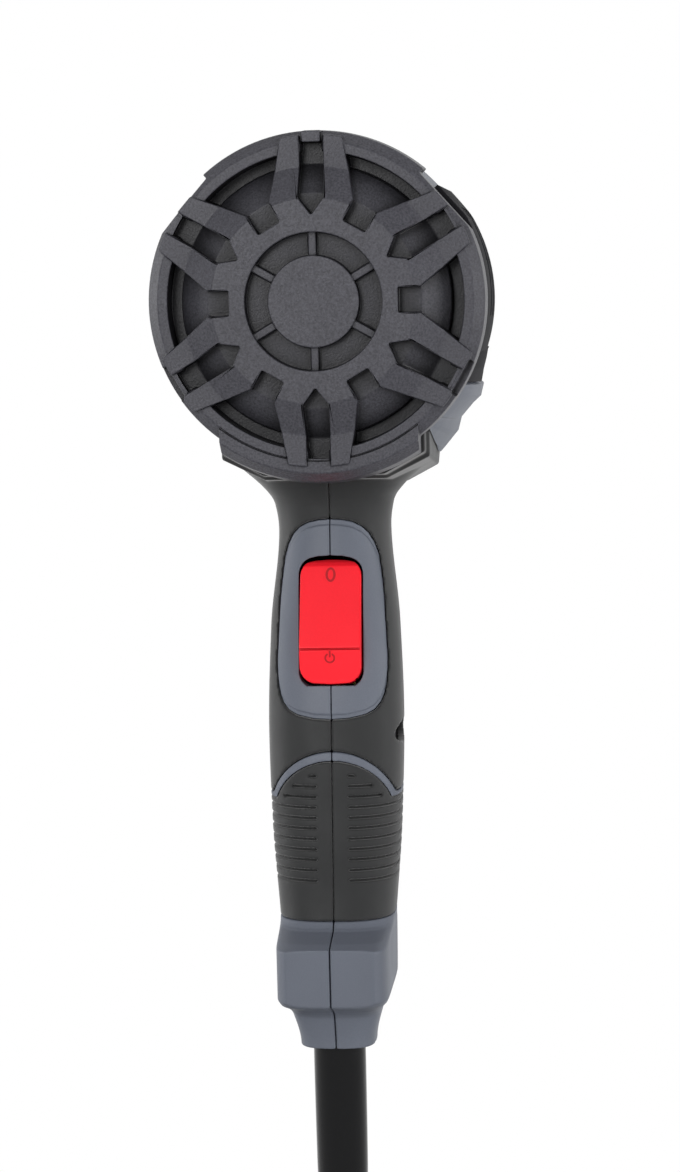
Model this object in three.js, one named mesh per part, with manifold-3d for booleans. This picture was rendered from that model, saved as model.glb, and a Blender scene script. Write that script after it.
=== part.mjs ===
// Hot air tool: a round-headed barrel with a wheel-like rear cap, a steel nozzle, a soft-clad handle with a
// rocker switch, a foot that stands level with the cap, and a mains lead put away in a coil.
// Millimetres. The pieces are modelled in the barrel's own frame: Y runs along the barrel towards the nozzle
// and is 0 at the face of the rear cap's hub, Z is up, X is to the right seen from behind.
// The exported group moves that frame so that the origin is the middle of the hand grip.
import * as THREE from 'three';
import { mergeVertices } from 'three/addons/utils/BufferGeometryUtils.js';
import Module from 'manifold-3d';

const wasm = await Module();
wasm.setup();

// Fits shared by all pieces
const clearance = 0.3;
const seamGap = 0.3;
const recessPlay = 0.6;

// Bounds that lie beyond every piece, for the solids that cut or pick out a region
const farSide = 80;
const farRear = -10;
const farFront = 260;
const farBelow = -300;
const handleSpace = [farRear, 110];

// Sides of the turned surfaces: a multiple of the cap's spokes, so that they all line up
const roundSides = 30;
const smallSides = 18;
const handleSides = 18;
const coreSides = 14;
const motorSides = 16;

// Head of the housing
const headRadius = 43.6;
const headWall = 2.8;
const shoulderRadius = headRadius - 8.6;
const headLength = 136;
const boreRadius = 18.2;
const saddleHalfWidth = 28;
const saddleFlatHalf = 16;
const saddleDrop = headRadius + 3.3;
const saddleGrowth = 4.1;
const saddleFarDepth = 60;
const cheekFarDepth = 58;
const cheekNearRadius = headRadius + 0.6;

// Rear cap: its radii keep their steps from the head's
const capRadius = headRadius + 0.6;
const capDepth = 16;
const capFlare = 0.4;
const capFloor = 12.4;
const capChamfer = 2.8;
const hubRadius = capRadius - 17.6;
const hubGrooveOuter = hubRadius - 8.7;
const hubGrooveInner = hubGrooveOuter - 6;
const hubGrooveDepth = 3.6;
const hubRibWidth = 2.0;
const spokeCount = 6;
const spokeDrop = 4.6;
const slopeEndRadius = capRadius - 9.3;
const rimInnerRadius = capRadius - 5.4;
const rimDrop = 5.2;
const windowDepth = 9.4;
const notchDepth = 4.2;
const notchWidth = 6.6;
const notchInnerRadius = hubRadius - 4.6;
const pocketTipRadius = hubRadius - 4.3;
const pocketWidth = 7;
const pocketEndRadius = capRadius - 2.9;
const flatDistance = capRadius - 1.8;
const upperFlatTurn = Math.PI * 0.23;
const lowerFlatTurn = -Math.PI * 0.164;
const chinHalfWidth = 26.2;
const chinRadius = capRadius + 4;
const spigotRadius = capRadius - 3.3;
const spokePairHalf = 11.4;

// Handle: stations down from the barrel's axis
const neckDrop = headRadius + 18.4;
const neckWidth = 30.6;
const neckRear = 29;
const palmDrop = neckDrop + 52;
const palmWidth = 36.8;
const palmRear = 20;
const heelDrop = palmDrop + 52;
const heelWidth = 31.4;
const heelRear = 13.2;
const gripDepth = 44.5;
const skin = 1.8;
const wall = 2.2;

// Foot, cable outlet and lead
const footDrop = heelDrop + 5.4;
const footHeight = 14;
const footWidth = 31.6;
const footTrim = 1.2;
const footFloorDrop = footDrop + footHeight - 1;
const outletDrop = footDrop + 29.4;
const outletRadius = 10.2;
const outletY = 22;
const leadDiameter = 7.4;
const leadTotal = 1830;
const sleeveLength = 60;
const sleeveRadius = 7.1;
const leadBend = 34;

// Switch
const rockerWidth = 16.6;
const rockerTop = neckDrop + 7;
const rockerBottom = rockerTop + 32.7;
const rockerPivotDrop = rockerTop + 17;
const rockerPivotY = 28;
const rockerFaceY = 30.4;
const rockerSlope = 0.41;
const rockerOnEnd = 9;
const rockerBackY = 33.4;
const switchSlot = 17.5;

// Grip ribs
const ribCount = 11;
const ribPitch = 2.8;
const ribGroove = 1.1;
const ribTopDrop = palmDrop + 13.4;
const ribInner = 4.1;

// Front
const nozzleRadius = 17.5;
const nozzleWall = 0.9;
const nozzleEnd = 238;
const guardLength = 30;
const guardSlots = 10;

// Blower
const motorRadius = 17.6;
const motorStart = 22;
const motorLength = 44;
const shaftRadius = 1.6;
const fanStart = 73;
const fanLength = 13;
const fanRadius = 30.4;
const bladeCount = 9;
const ductBore = 31.6;

// Heater
const coreStart = 126;
const coreEnd = 200;
const coreRadius = 11.4;
const wireRadius = 0.8;
const windings = 10;

// Colours of the photographed object
const finish = {
  shell: { color: 0x6a6f79, roughness: 0.55, metalness: 0 },
  rubber: { color: 0x36383a, roughness: 0.6, metalness: 0 },
  cap: { color: 0x4a4a4e, roughness: 0.8, metalness: 0 },
  guard: { color: 0x2b2c2e, roughness: 0.6, metalness: 0 },
  switchRed: { color: 0xe52a36, roughness: 0.4, metalness: 0 },
  steel: { color: 0xb9babd, roughness: 0.3, metalness: 1 },
  mica: { color: 0xc9b487, roughness: 0.8, metalness: 0 },
  wire: { color: 0x8d8a86, roughness: 0.5, metalness: 1 },
  nylon: { color: 0xd8d5cc, roughness: 0.6, metalness: 0 },
  lead: { color: 0x17181a, roughness: 0.45, metalness: 0 },
  brass: { color: 0xc8a24a, roughness: 0.35, metalness: 1 },
  board: { color: 0x2e6b46, roughness: 0.6, metalness: 0 },
};

// Solids from closed geometry

function solidOf(geometry) {
  geometry.deleteAttribute('normal');
  geometry.deleteAttribute('uv');
  const merged = mergeVertices(geometry, 1e-4);
  const points = merged.attributes.position.array;
  const corners = [];
  for (let i = 0; i < merged.index.count; i += 3) {
    const [a, b, c] = [0, 1, 2].map((k) => merged.index.getX(i + k));
    if (a !== b && b !== c && c !== a) corners.push(a, b, c);
  }
  const at = (i) => new THREE.Vector3().fromArray(points, 3 * i);
  let volume = 0;
  for (let i = 0; i < corners.length; i += 3) {
    volume += at(corners[i]).cross(at(corners[i + 1])).dot(at(corners[i + 2]));
  }
  if (volume < 0) corners.reverse();
  const mesh = new wasm.Mesh({
    numProp: 3,
    vertProperties: new Float32Array(points),
    triVerts: new Uint32Array(corners),
  });
  return new wasm.Manifold(mesh);
}

function geometryOf(solid) {
  const mesh = solid.getMesh();
  const geometry = new THREE.BufferGeometry();
  geometry.setAttribute('position', new THREE.BufferAttribute(new Float32Array(mesh.vertProperties), 3));
  geometry.setIndex(new THREE.BufferAttribute(new Uint32Array(mesh.triVerts), 1));
  geometry.computeVertexNormals();
  return geometry;
}

const join = (...solids) => solids.flat().reduce((sum, next) => sum.add(next));
const cut = (solid, ...tools) => tools.flat().reduce((rest, next) => rest.subtract(next), solid);
const common = (solid, ...others) => others.flat().reduce((rest, next) => rest.intersect(next), solid);

// A profile of [radius, y] points turned about the Y axis; it starts and ends on the axis or is closed here
function revolve(profile, segments = roundSides) {
  const points = profile.map(([radius, y]) => new THREE.Vector2(radius, y));
  const onAxis = profile[0][0] === 0 && profile.at(-1)[0] === 0;
  if (!onAxis) points.push(points[0].clone());
  return solidOf(new THREE.LatheGeometry(points, segments));
}

function tube(inner, outer, y0, y1, segments = roundSides) {
  const profile = [[inner, y0], [outer, y0], [outer, y1], [inner, y1]];
  return revolve(profile, segments);
}

const shapeOf = (points) => new THREE.Shape(points.map(([u, v]) => new THREE.Vector2(u, v)));

// An outline in X and Z, extruded along Y
function prismY(points, y0, y1) {
  const geometry = new THREE.ExtrudeGeometry(shapeOf(points), { depth: y1 - y0, bevelEnabled: false });
  geometry.rotateX(Math.PI / 2);
  geometry.translate(0, y1, 0);
  return solidOf(geometry);
}

// An outline in Y and Z, extruded along X
function prismX(points, x0, x1) {
  const geometry = new THREE.ExtrudeGeometry(shapeOf(points), { depth: x1 - x0, bevelEnabled: false });
  const turn = new THREE.Matrix4().makeBasis(
    new THREE.Vector3(0, 1, 0), new THREE.Vector3(0, 0, 1), new THREE.Vector3(1, 0, 0));
  geometry.applyMatrix4(turn);
  geometry.translate(x0, 0, 0);
  return solidOf(geometry);
}

function box([x0, x1], [y0, y1], [z0, z1], spin = 0) {
  const geometry = new THREE.BoxGeometry(x1 - x0, y1 - y0, z1 - z0);
  geometry.translate((x0 + x1) / 2, (y0 + y1) / 2, (z0 + z1) / 2);
  geometry.rotateY(-spin);
  return solidOf(geometry);
}

// A cylinder whose axis is 'x', 'y' or 'z', from a to b along it, about the other two coordinates
function rod(axis, radius, [a, b], [p, q], segments = 20) {
  const geometry = new THREE.CylinderGeometry(radius, radius, b - a, segments);
  const middle = (a + b) / 2;
  if (axis === 'x') geometry.rotateZ(Math.PI / 2).translate(middle, p, q);
  if (axis === 'y') geometry.translate(p, middle, q);
  if (axis === 'z') geometry.rotateX(Math.PI / 2).translate(p, q, middle);
  return solidOf(geometry);
}

// Rings of equal point count skinned into one closed body
function loft(rings) {
  const count = rings[0].length;
  const points = rings.flat();
  const faces = [];
  for (let r = 0; r + 1 < rings.length; r += 1) {
    for (let i = 0; i < count; i += 1) {
      const [a, b] = [r * count + i, r * count + (i + 1) % count];
      faces.push(a, b, a + count, b, b + count, a + count);
    }
  }
  for (const [ring, flip] of [[0, true], [rings.length - 1, false]]) {
    const centre = new THREE.Vector3();
    rings[ring].forEach((point) => centre.addScaledVector(point, 1 / count));
    points.push(centre);
    for (let i = 0; i < count; i += 1) {
      const [a, b] = [ring * count + i, ring * count + (i + 1) % count];
      faces.push(...(flip ? [b, a] : [a, b]), points.length - 1);
    }
  }
  const geometry = new THREE.BufferGeometry().setFromPoints(points);
  geometry.setIndex(faces);
  return solidOf(geometry);
}

// A round wire or cable along a list of points, its ends square to it
function sweep(path, radius, sides) {
  const rings = [];
  const normal = new THREE.Vector3();
  path.forEach((point, i) => {
    const before = path[Math.max(i - 1, 0)];
    const after = path[Math.min(i + 1, path.length - 1)];
    const tangent = after.clone().sub(before).normalize();
    if (i === 0) {
      const reference = Math.abs(tangent.z) < 0.9 ? new THREE.Vector3(0, 0, 1) : new THREE.Vector3(1, 0, 0);
      normal.copy(reference);
    }
    normal.addScaledVector(tangent, -normal.dot(tangent)).normalize();
    const side = tangent.clone().cross(normal);
    rings.push(Array.from({ length: sides }, (_, k) => {
      const turn = 2 * Math.PI * (k + 0.5) / sides;
      return point.clone().addScaledVector(normal, radius * Math.cos(turn))
        .addScaledVector(side, radius * Math.sin(turn));
    }));
  });
  return loft(rings);
}

const arc = (cx, cy, rx, ry, from, to, steps) => Array.from({ length: steps + 1 }, (_, i) => {
  const turn = from + (to - from) * i / steps;
  return [cx + rx * Math.cos(turn), cy + ry * Math.sin(turn)];
});

const mirrored = (half) => [...half, ...half.filter(([u]) => u !== 0).map(([u, v]) => [-u, v]).reverse()];

const turnAbout = (points, angle) => points.map(([u, v]) => [
  u * Math.cos(angle) - v * Math.sin(angle),
  u * Math.sin(angle) + v * Math.cos(angle),
]);

// Handle: one smooth loft through named stations

const upperDrop = neckDrop + 26;
const lowerDrop = palmDrop + 28;
const stations = [
  { drop: headRadius - 1.6, width: 2 * saddleHalfWidth, rear: 24, front: 88, middle: 43, power: 2.5 },
  { drop: headRadius + 2.4, width: 49, rear: 27, front: 85, middle: 44, power: 2.4 },
  { drop: headRadius + 6.4, width: 40, rear: 28.6, front: 81, middle: 44, power: 2.3 },
  { drop: headRadius + 11.4, width: 32.6, rear: 29.3, front: 77, middle: 44, power: 2.3 },
  {
    drop: neckDrop, width: neckWidth, rear: neckRear, front: neckRear + gripDepth + 1.5,
    middle: 44, power: 2.3,
  },
  { drop: upperDrop, width: 35.2, rear: 24.6, front: 24.6 + gripDepth - 1, middle: 39, power: 2.4 },
  { drop: palmDrop, width: palmWidth, rear: palmRear, front: palmRear + gripDepth, middle: 35, power: 2.5 },
  { drop: lowerDrop, width: 35.2, rear: 16.4, front: 16.4 + gripDepth - 0.5, middle: 31, power: 2.5 },
  {
    drop: heelDrop, width: heelWidth, rear: heelRear, front: heelRear + gripDepth - 0.5,
    middle: 28, power: 2.6,
  },
  { drop: heelDrop + 2.4, width: 31, rear: 11, front: 57.6, middle: 26, power: 3.2 },
  { drop: heelDrop + 4, width: 31.3, rear: 3, front: 57.4, middle: 22, power: 4.5 },
  { drop: footDrop, width: footWidth, rear: -footTrim, front: 57, middle: 20, power: 5.5 },
  { drop: footDrop + footHeight, width: footWidth, rear: -footTrim, front: 53, middle: 20, power: 5.5 },
  { drop: footDrop + footHeight + 3, width: footWidth - 2, rear: 3, front: 49, middle: 21, power: 4.5 },
  {
    drop: footDrop + footHeight + 7, width: 26, rear: outletY - 12.6, front: outletY + 15,
    middle: outletY, power: 3.4,
  },
  {
    drop: outletDrop, width: 2 * outletRadius, rear: outletY - outletRadius, front: outletY + outletRadius,
    middle: outletY, power: 3.2,
  },
];

// Monotone cubic through the stations, so nothing overshoots at the foot's ledges
function stationAt(drop) {
  const last = stations.length - 2;
  const found = stations.findIndex((station, i) => i <= last && drop <= stations[i + 1].drop);
  const i = found < 0 ? last : found;
  const slope = (k, key) => {
    const [above, below] = [stations[k], stations[k + 1]];
    return (below[key] - above[key]) / (below.drop - above.drop);
  };
  const tangent = (k, key) => {
    if (k === 0 || k === stations.length - 1) return 0;
    const [left, right] = [slope(k - 1, key), slope(k, key)];
    return left * right <= 0 ? 0 : 2 * left * right / (left + right);
  };
  const span = stations[i + 1].drop - stations[i].drop;
  const t = Math.min(Math.max((drop - stations[i].drop) / span, 0), 1);
  const value = (key) => {
    const [a, b] = [stations[i][key], stations[i + 1][key]];
    const [ta, tb] = [tangent(i, key) * span, tangent(i + 1, key) * span];
    return (2 * t ** 3 - 3 * t ** 2 + 1) * a + (t ** 3 - 2 * t ** 2 + t) * ta
      + (3 * t ** 2 - 2 * t ** 3) * b + (t ** 3 - t ** 2) * tb;
  };
  return Object.fromEntries(['width', 'rear', 'front', 'middle', 'power'].map((key) => [key, value(key)]));
}

function handleRing(drop, inset, count) {
  const { width, rear, front, middle, power } = stationAt(drop);
  return Array.from({ length: count }, (_, i) => {
    const turn = 2 * Math.PI * (i + 0.5) / count;
    const [u, v] = [Math.cos(turn), Math.sin(turn)];
    const reach = (v < 0 ? middle - rear : front - middle) - inset;
    const x = Math.sign(u) * Math.abs(u) ** (2 / power) * (width / 2 - inset);
    const y = middle + Math.sign(v) * Math.abs(v) ** (2 / power) * reach;
    return new THREE.Vector3(x, y, -drop);
  });
}

const handleTop = stations[0].drop;
const handleLevels = stations.map(({ drop }) => drop);
const coreLevels = handleLevels.filter((drop) => drop <= heelDrop || drop === footDrop);

function handleLoft(inset, from, to, count = handleSides, levels = handleLevels) {
  const inside = levels.filter((drop) => drop > from + 0.5 && drop < to - 0.5);
  return loft([from, ...inside, to].map((drop) => handleRing(drop, inset, count)));
}
const coreLoft = (inset, from, to) => handleLoft(inset, from, to, coreSides, coreLevels);

// Regions of the handle, as outlines seen from behind

const plateTop = -(rockerTop - 9.4);
const plateBottom = -(rockerTop + 43.6);
const plateHalf = (inset) => [
  [0, plateTop - inset], [6.2 - inset / 2, plateTop - 0.9 - inset],
  [10.4 - inset, plateTop - 3.8 - inset], [13 - inset, plateTop - 9.4],
  [14.3 - inset, plateTop - 19.4], [15.2 - inset, plateBottom + 17.6],
  [15 - inset, plateBottom + 9.6], [13.4 - inset, plateBottom + 4.2],
  [9.4 - inset / 2, plateBottom + 1.3 + inset], [0, plateBottom + inset],
];
const platePrism = (inset) => prismY(mirrored(plateHalf(inset)), -5, stationAt(palmDrop).middle + 4);

const archBase = -(palmDrop + 27);
const archDepth = 44;
const archHalfWidth = 16.3;
const archRise = 20.4;
function belowArch(offset) {
  const outline = arc(0, archBase, archHalfWidth - offset * 0.4, archRise - offset, 0, Math.PI, 12);
  return join(
    prismY(outline, -10, archDepth),
    box([-farSide, farSide], handleSpace, [farBelow, archBase + 5 - offset * 0.5]),
  );
}

// Rear cap

function wheelOutline() {
  const hub = tube(0, hubRadius + 0.9, -1, windowDepth + 1);
  const bodies = [hub];
  const voids = [];
  const pairOutline = [
    [hubRadius - 8.6, -spokePairHalf], [hubRadius, 0.6 - spokePairHalf],
    [slopeEndRadius - 0.9, 1.8 - spokePairHalf], [pocketEndRadius + 2, 3.5 - spokePairHalf],
    [pocketEndRadius + 2, spokePairHalf - 3.5], [slopeEndRadius - 0.9, spokePairHalf - 1.8],
    [hubRadius, spokePairHalf - 0.6], [hubRadius - 8.6, spokePairHalf],
  ];
  const half = pocketWidth / 2;
  const pocketOutline = [
    [pocketTipRadius, 0], [hubRadius + 0.2, -half], [slopeEndRadius, half * 0.1 - half], [60, 0.8 - half],
    [60, half - 0.8], [slopeEndRadius, half * 0.9], [hubRadius + 0.2, half],
  ];
  const notchOutline = [
    [notchInnerRadius, -notchWidth / 2], [hubRadius + 5, -notchWidth / 2],
    [hubRadius + 5, notchWidth / 2], [notchInnerRadius, notchWidth / 2],
  ];
  for (let i = 0; i < spokeCount; i += 1) {
    const angle = Math.PI / 2 + i * 2 * Math.PI / spokeCount;
    const between = angle + Math.PI / spokeCount;
    bodies.push(prismY(turnAbout(pairOutline, angle), -1, windowDepth + 1));
    voids.push(prismY(turnAbout(pocketOutline, angle), -2, windowDepth + 2));
    voids.push(prismY(turnAbout(notchOutline, between), -2, windowDepth + 2));
  }
  return cut(join(bodies), voids);
}

function makeRearCap() {
  const skirt = capRadius + capFlare;
  const floor = revolve([
    [0, hubGrooveDepth], [hubGrooveOuter, hubGrooveDepth], [hubGrooveOuter, notchDepth],
    [hubRadius + 1.4, notchDepth], [slopeEndRadius + 0.8, windowDepth], [rimInnerRadius, windowDepth],
    [rimInnerRadius, rimDrop], [capRadius - capChamfer, rimDrop], [capRadius, rimDrop + capChamfer],
    [skirt, capDepth], [0, capDepth],
  ]);
  const chin = common(
    revolve([
      [pocketEndRadius + 0.3, rimDrop], [chinRadius - 3.4, rimDrop], [chinRadius - 1, rimDrop + 3.4],
      [chinRadius, capDepth], [pocketEndRadius + 0.3, capDepth],
    ]),
    box([-chinHalfWidth, chinHalfWidth], [0, capDepth + 1], [-farSide, -28]),
  );
  const wheel = common(wheelOutline(), revolve([
    [0, 0], [hubRadius, 0], [slopeEndRadius, spokeDrop], [capRadius - 1.1, spokeDrop],
    [capRadius - 1.1, windowDepth + 0.5], [0, windowDepth + 0.5],
  ]));
  const groove = tube(hubGrooveInner, hubGrooveOuter, -1, hubGrooveDepth);
  const dish = tube(0, hubGrooveInner, -1, 0.5);
  let cap = cut(join(floor, chin, wheel), groove, dish);
  const ribs = [];
  const pockets = [];
  for (let i = 0; i < spokeCount; i += 1) {
    const angle = Math.PI / 2 + i * 2 * Math.PI / spokeCount;
    const across = [-hubRibWidth / 2, hubRibWidth / 2];
    ribs.push(box([hubGrooveInner - 0.5, hubGrooveOuter + 0.5], [1.3, hubGrooveDepth + 1], across, angle));
    const [low, high] = [0.8 - pocketWidth / 2, pocketWidth / 2 - 0.8];
    pockets.push(box([rimInnerRadius - 1, pocketEndRadius], [-1, windowDepth], [low, high], angle));
  }
  cap = cut(join(cap, ribs), pockets);
  const edgeFlats = [
    [upperFlatTurn, [-14, 6], capDepth + 1], [Math.PI - upperFlatTurn, [-6, 14], capDepth + 1],
    [Math.PI - lowerFlatTurn, [-5.6, 4.1], windowDepth], [lowerFlatTurn, [-4.1, 5.6], windowDepth],
  ].map(([angle, across, depth]) => box([flatDistance, farSide], [-1, depth], across, angle));
  const tab = box([-2.7, 2.7], [rimDrop - 1, capFloor + 1], [pocketEndRadius - 0.2, capRadius + 0.9]);
  const hollow = join(
    tube(0, spigotRadius + clearance, capFloor, capDepth + 1),
    tube(0, hubRadius - 3, hubGrooveDepth + 3, capFloor + 1),
  );
  return cut(join(cut(cap, edgeFlats), tab), hollow);
}

// Head of the housing: a full barrel that tapers towards the front

const barrelRear = (grow) => headRadius - 0.4 + grow;
const barrelCurve = (grow) => [
  [headRadius - 0.2 + grow, capDepth + 8], [headRadius + grow, 42], [headRadius - 0.5 + grow, 62],
  [headRadius - 1.6 + grow, 80], [headRadius - 4.4 + grow, 100],
];
const headOuter = (grow = 0) => [
  [0, capFloor + clearance], [spigotRadius, capFloor + clearance], [spigotRadius, capDepth + clearance],
  [barrelRear(grow), capDepth + clearance], ...barrelCurve(grow), [shoulderRadius + 1.4 + grow, 118],
  [shoulderRadius - 0.8 + grow, headLength], [0, headLength],
];
// The upper flats of the cap go on along the barrel and its side grilles
const upperFlats = (grow) => [upperFlatTurn, Math.PI - upperFlatTurn].map((angle) => box(
  [flatDistance - 0.2 + grow, farSide], [capDepth, headLength], [-22, 22], angle));
const headInner = () => [
  [0, capFloor - 1], [spigotRadius - 2, capFloor - 1], [spigotRadius - 2, capDepth + 1],
  ...barrelCurve(-headWall).filter((point, i) => i !== 1), [shoulderRadius - headWall, headLength - 4],
  [boreRadius, headLength - 4], [boreRadius, headLength + 1], [0, headLength + 1],
];

function radiusAt(profile, y) {
  const i = profile.findIndex((point, k) => k > 0 && profile[k - 1][1] < y && point[1] >= y);
  const [[r0, y0], [r1, y1]] = [profile[i - 1], profile[i]];
  return r0 + (r1 - r0) * (y - y0) / (y1 - y0);
}

// Everything under the barrel fades into it towards the front
const blendEnd = 96;
const saddleBlend = () => revolve([
  [0, capDepth + clearance], [headRadius + 12, capDepth + clearance], [headRadius + 12, saddleFarDepth],
  [headRadius - 6, blendEnd], [0, blendEnd],
]);

// The cheeks step down from the barrel to the saddle and flare with depth, so the cap hides the near end
const cheekHalf = [
  [headRadius - 8, -10], [headRadius - 0.1, -10], [headRadius - 0.7, -14.7], [headRadius - 1.6, -19],
  [headRadius - 3, -23.9], [headRadius - 3.9, -28], [headRadius - 6.2, -30], [headRadius - 9.6, -33.9],
  [headRadius - 10.4, -37.5], [headRadius - 11.4, -38.7], [headRadius - 13.8, -41.6],
  [headRadius - 15, -43], [headRadius - 15, -28],
];
const ringAt = (points, y) => points.map(([x, z]) => new THREE.Vector3(x, y, z));
function makeCheek(side) {
  const far = cheekHalf.map(([x, z]) => [side * x, z]);
  const near = far.map(([x, z]) => {
    const shrink = Math.min(1, cheekNearRadius / Math.hypot(x, z));
    return [x * shrink, z * shrink];
  });
  return loft([ringAt(near, capDepth), ringAt(far, cheekFarDepth), ringAt(far, blendEnd + 10)]);
}

const saddleHalf = (inset, growth) => [
  [0, -30], [saddleHalfWidth - inset, -30],
  [saddleHalfWidth - inset, inset - growth * 1.3 - headRadius + 2.6],
  [saddleFlatHalf + growth * 0.75, inset - growth - saddleDrop], [0, inset - growth - saddleDrop],
];
function makeSaddle(inset, start) {
  const ring = (growth, y) => ringAt(mirrored(saddleHalf(inset, growth)), y);
  const form = loft([
    ring(0, capDepth), ring(saddleGrowth, saddleFarDepth), ring(saddleGrowth, blendEnd + 10),
  ]);
  return common(form, box([-farSide, farSide], [start, blendEnd + 10], [-farSide, 0]));
}

// Side grilles: curved plates let into the barrel's sides, slotted for the intake air
const grille = { from: -19, to: 43, start: 17, end: 78, proud: 1.4, thickness: 3.1 };
// The recessed lip below each grille's near end
const grilleLip = { from: -31, to: -18.4, start: 17, end: 28.6, sink: 1.2, thickness: 1.4 };
const grilleSlot = { count: 5, width: 3.6, first: 29, pitch: 9.2, lean: 6, low: -5, high: 24 };

const outward = (side) => (side > 0 ? [20, farSide] : [-farSide, -20]);
function grilleWedge(side, span, margin) {
  const [from, to] = [span.from, span.to].map((degrees) => degrees * Math.PI / 180);
  const play = margin / headRadius;
  const outline = [[0, 0], ...arc(0, 0, farSide, farSide, from - play, to + play, 6)];
  const points = outline.map(([x, z]) => [side * x, z]);
  return prismY(points, span.start - margin, span.end + margin);
}

function grilleShell(low, high) {
  const profile = (grow) => [
    [0, grille.start - 2], [barrelRear(grow), grille.start - 2], ...barrelCurve(grow), [0, 100],
  ];
  return cut(revolve(profile(high)), revolve(profile(low)));
}

function grilleSlots(side) {
  const { count, width, first, pitch, lean, low, high } = grilleSlot;
  return Array.from({ length: count }, (_, i) => {
    const [start, end] = [first + i * pitch - width / 2, first + i * pitch + width / 2];
    const outline = [[start, low], [end, low], [end + lean, high], [start + lean, high]];
    return prismX(outline, ...outward(side));
  });
}

function makeGrille(side) {
  const plate = common(
    grilleShell(grille.proud - grille.thickness, grille.proud),
    grilleWedge(side, grille, 0),
  );
  const lip = common(
    grilleShell(-grilleLip.sink - grilleLip.thickness, -grilleLip.sink),
    grilleWedge(side, grilleLip, 0),
  );
  return cut(join(plate, lip), grilleSlots(side), upperFlats(grille.proud));
}

function grillePocket(side) {
  const seat = common(
    grilleShell(grille.proud - grille.thickness - clearance, grille.proud + 8),
    grilleWedge(side, grille, clearance),
  );
  const window = prismX([[26, -7], [80, -7], [80, 26], [26, 26]], ...outward(side));
  const slot = common(
    tube(headRadius - headWall - 2, farSide, grille.start - 1, grilleLip.end + 1),
    grilleWedge(side, grilleLip, clearance),
  );
  return [seat, window, slot];
}

// Screws that clamp the two halves, put in from the right
const screwHead = { radius: 2.8, height: 2 };
const screwShank = { radius: 1.45, length: 17 };
const screwSpots = [
  { name: 'housing_screw_palm', y: palmRear + 23, z: -palmDrop - 3.5, face: 12.6 },
  { name: 'housing_screw_heel', y: palmRear + 26, z: 8 - heelDrop, face: 10.4 },
  { name: 'housing_screw_neck', y: neckRear + 37, z: 2 - neckDrop, face: 8.6 },
  { name: 'housing_screw_front_upper', y: headLength - 12, z: shoulderRadius - 8.4, face: 15 },
  { name: 'housing_screw_front_lower', y: headLength - 12, z: 8.4 - shoulderRadius, face: 15 },
];

function bossesFor(side) {
  return screwSpots.map(({ y, z, face }) => {
    const reach = side > 0 ? [0, face + 1] : [-farSide, 0];
    return rod('x', 3.8, reach, [y, z], 6);
  });
}
const screwRecess = ({ y, z }, from = 4) => rod(
  'x', screwHead.radius + recessPlay, [from, farSide], [y, z], 8);
function screwVoids(side) {
  return screwSpots.flatMap(({ y, z, face }) => {
    const end = face - screwShank.length - 1;
    const hole = rod('x', screwShank.radius + clearance + 0.1, [end, face + 1], [y, z], 6);
    return side < 0 ? [hole] : [hole, screwRecess({ y, z }, face)];
  });
}
function makeScrew({ y, z, face }) {
  const seat = face + clearance;
  const head = rod('x', screwHead.radius, [seat, seat + screwHead.height], [y, z], 8);
  const shank = rod('x', screwShank.radius, [seat - screwShank.length, seat + 0.5], [y, z], 6);
  return join(head, shank);
}

// Switch

const slotMargin = 0.45;
// Room for the corners of both ends, which move up and down as the rocker swings
const swingRoom = 0.6;
const slotOutline = (grow) => {
  const [half, top, bottom] = [switchSlot / 2 + grow, -rockerTop + 0.8 + grow, -rockerBottom - 1.1 - grow];
  return mirrored([
    [0, top], [half - 3, top - 0.3], [half - 0.8, top - 1.2], [half, top - 2.4], [half, bottom + 2.2],
    [half - 1, bottom + 1], [half - 3, bottom + 0.2], [0, bottom],
  ]);
};

// The pressed rocker: its off end sits inside the slot, its on end stands proud
const rockerProfile = (inset) => {
  const face = (drop) => rockerFaceY - (drop - rockerTop) * rockerSlope + inset;
  const crease = rockerBottom - rockerOnEnd;
  return [
    [face(rockerTop) + 1.6, -rockerTop - inset], [face(rockerTop), -rockerTop - 1 - inset],
    [face(crease), -crease], [face(crease) - 0.9, -crease - 4.2 + inset * 0.4],
    [face(crease) + 2.2, -rockerBottom + 0.5 + inset], [face(crease) + 3.6, -rockerBottom + inset],
    [rockerBackY, -rockerBottom + 1.4 + inset], [rockerBackY, -rockerTop - 0.6 - inset],
  ];
};

function makeRocker() {
  const half = rockerWidth / 2;
  const shellInset = 1.4;
  const outer = prismX(rockerProfile(0), -half, half);
  const inner = prismX(
    [...rockerProfile(shellInset).slice(0, 6), [40, -rockerBottom + 2.8], [40, -rockerTop - 2]],
    -half + 1.3, half - 1.3,
  );
  const pivot = [rockerPivotY, -rockerPivotDrop];
  const pinHole = rod('x', rockerPin.radius + 0.1, [-half - 1, half + 1], pivot, 16);
  const outline = slotOutline(-slotMargin);
  const ends = [-swingRoom, swingRoom].map((shift) => prismY(outline.map(([x, z]) => [x, z + shift]), 0, 60));
  const rounded = common(outer, ends);
  return cut(rounded, inner, pinHole);
}
const rockerPin = { radius: 1.2, half: rockerWidth / 2 - 0.4 };
const ear = { x: [4.6, 6.4], halfWidth: 3 };
const switchBody = { y: [36.4, 54], top: rockerTop + 5, bottom: rockerTop + 30, half: 7.6 };

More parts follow.
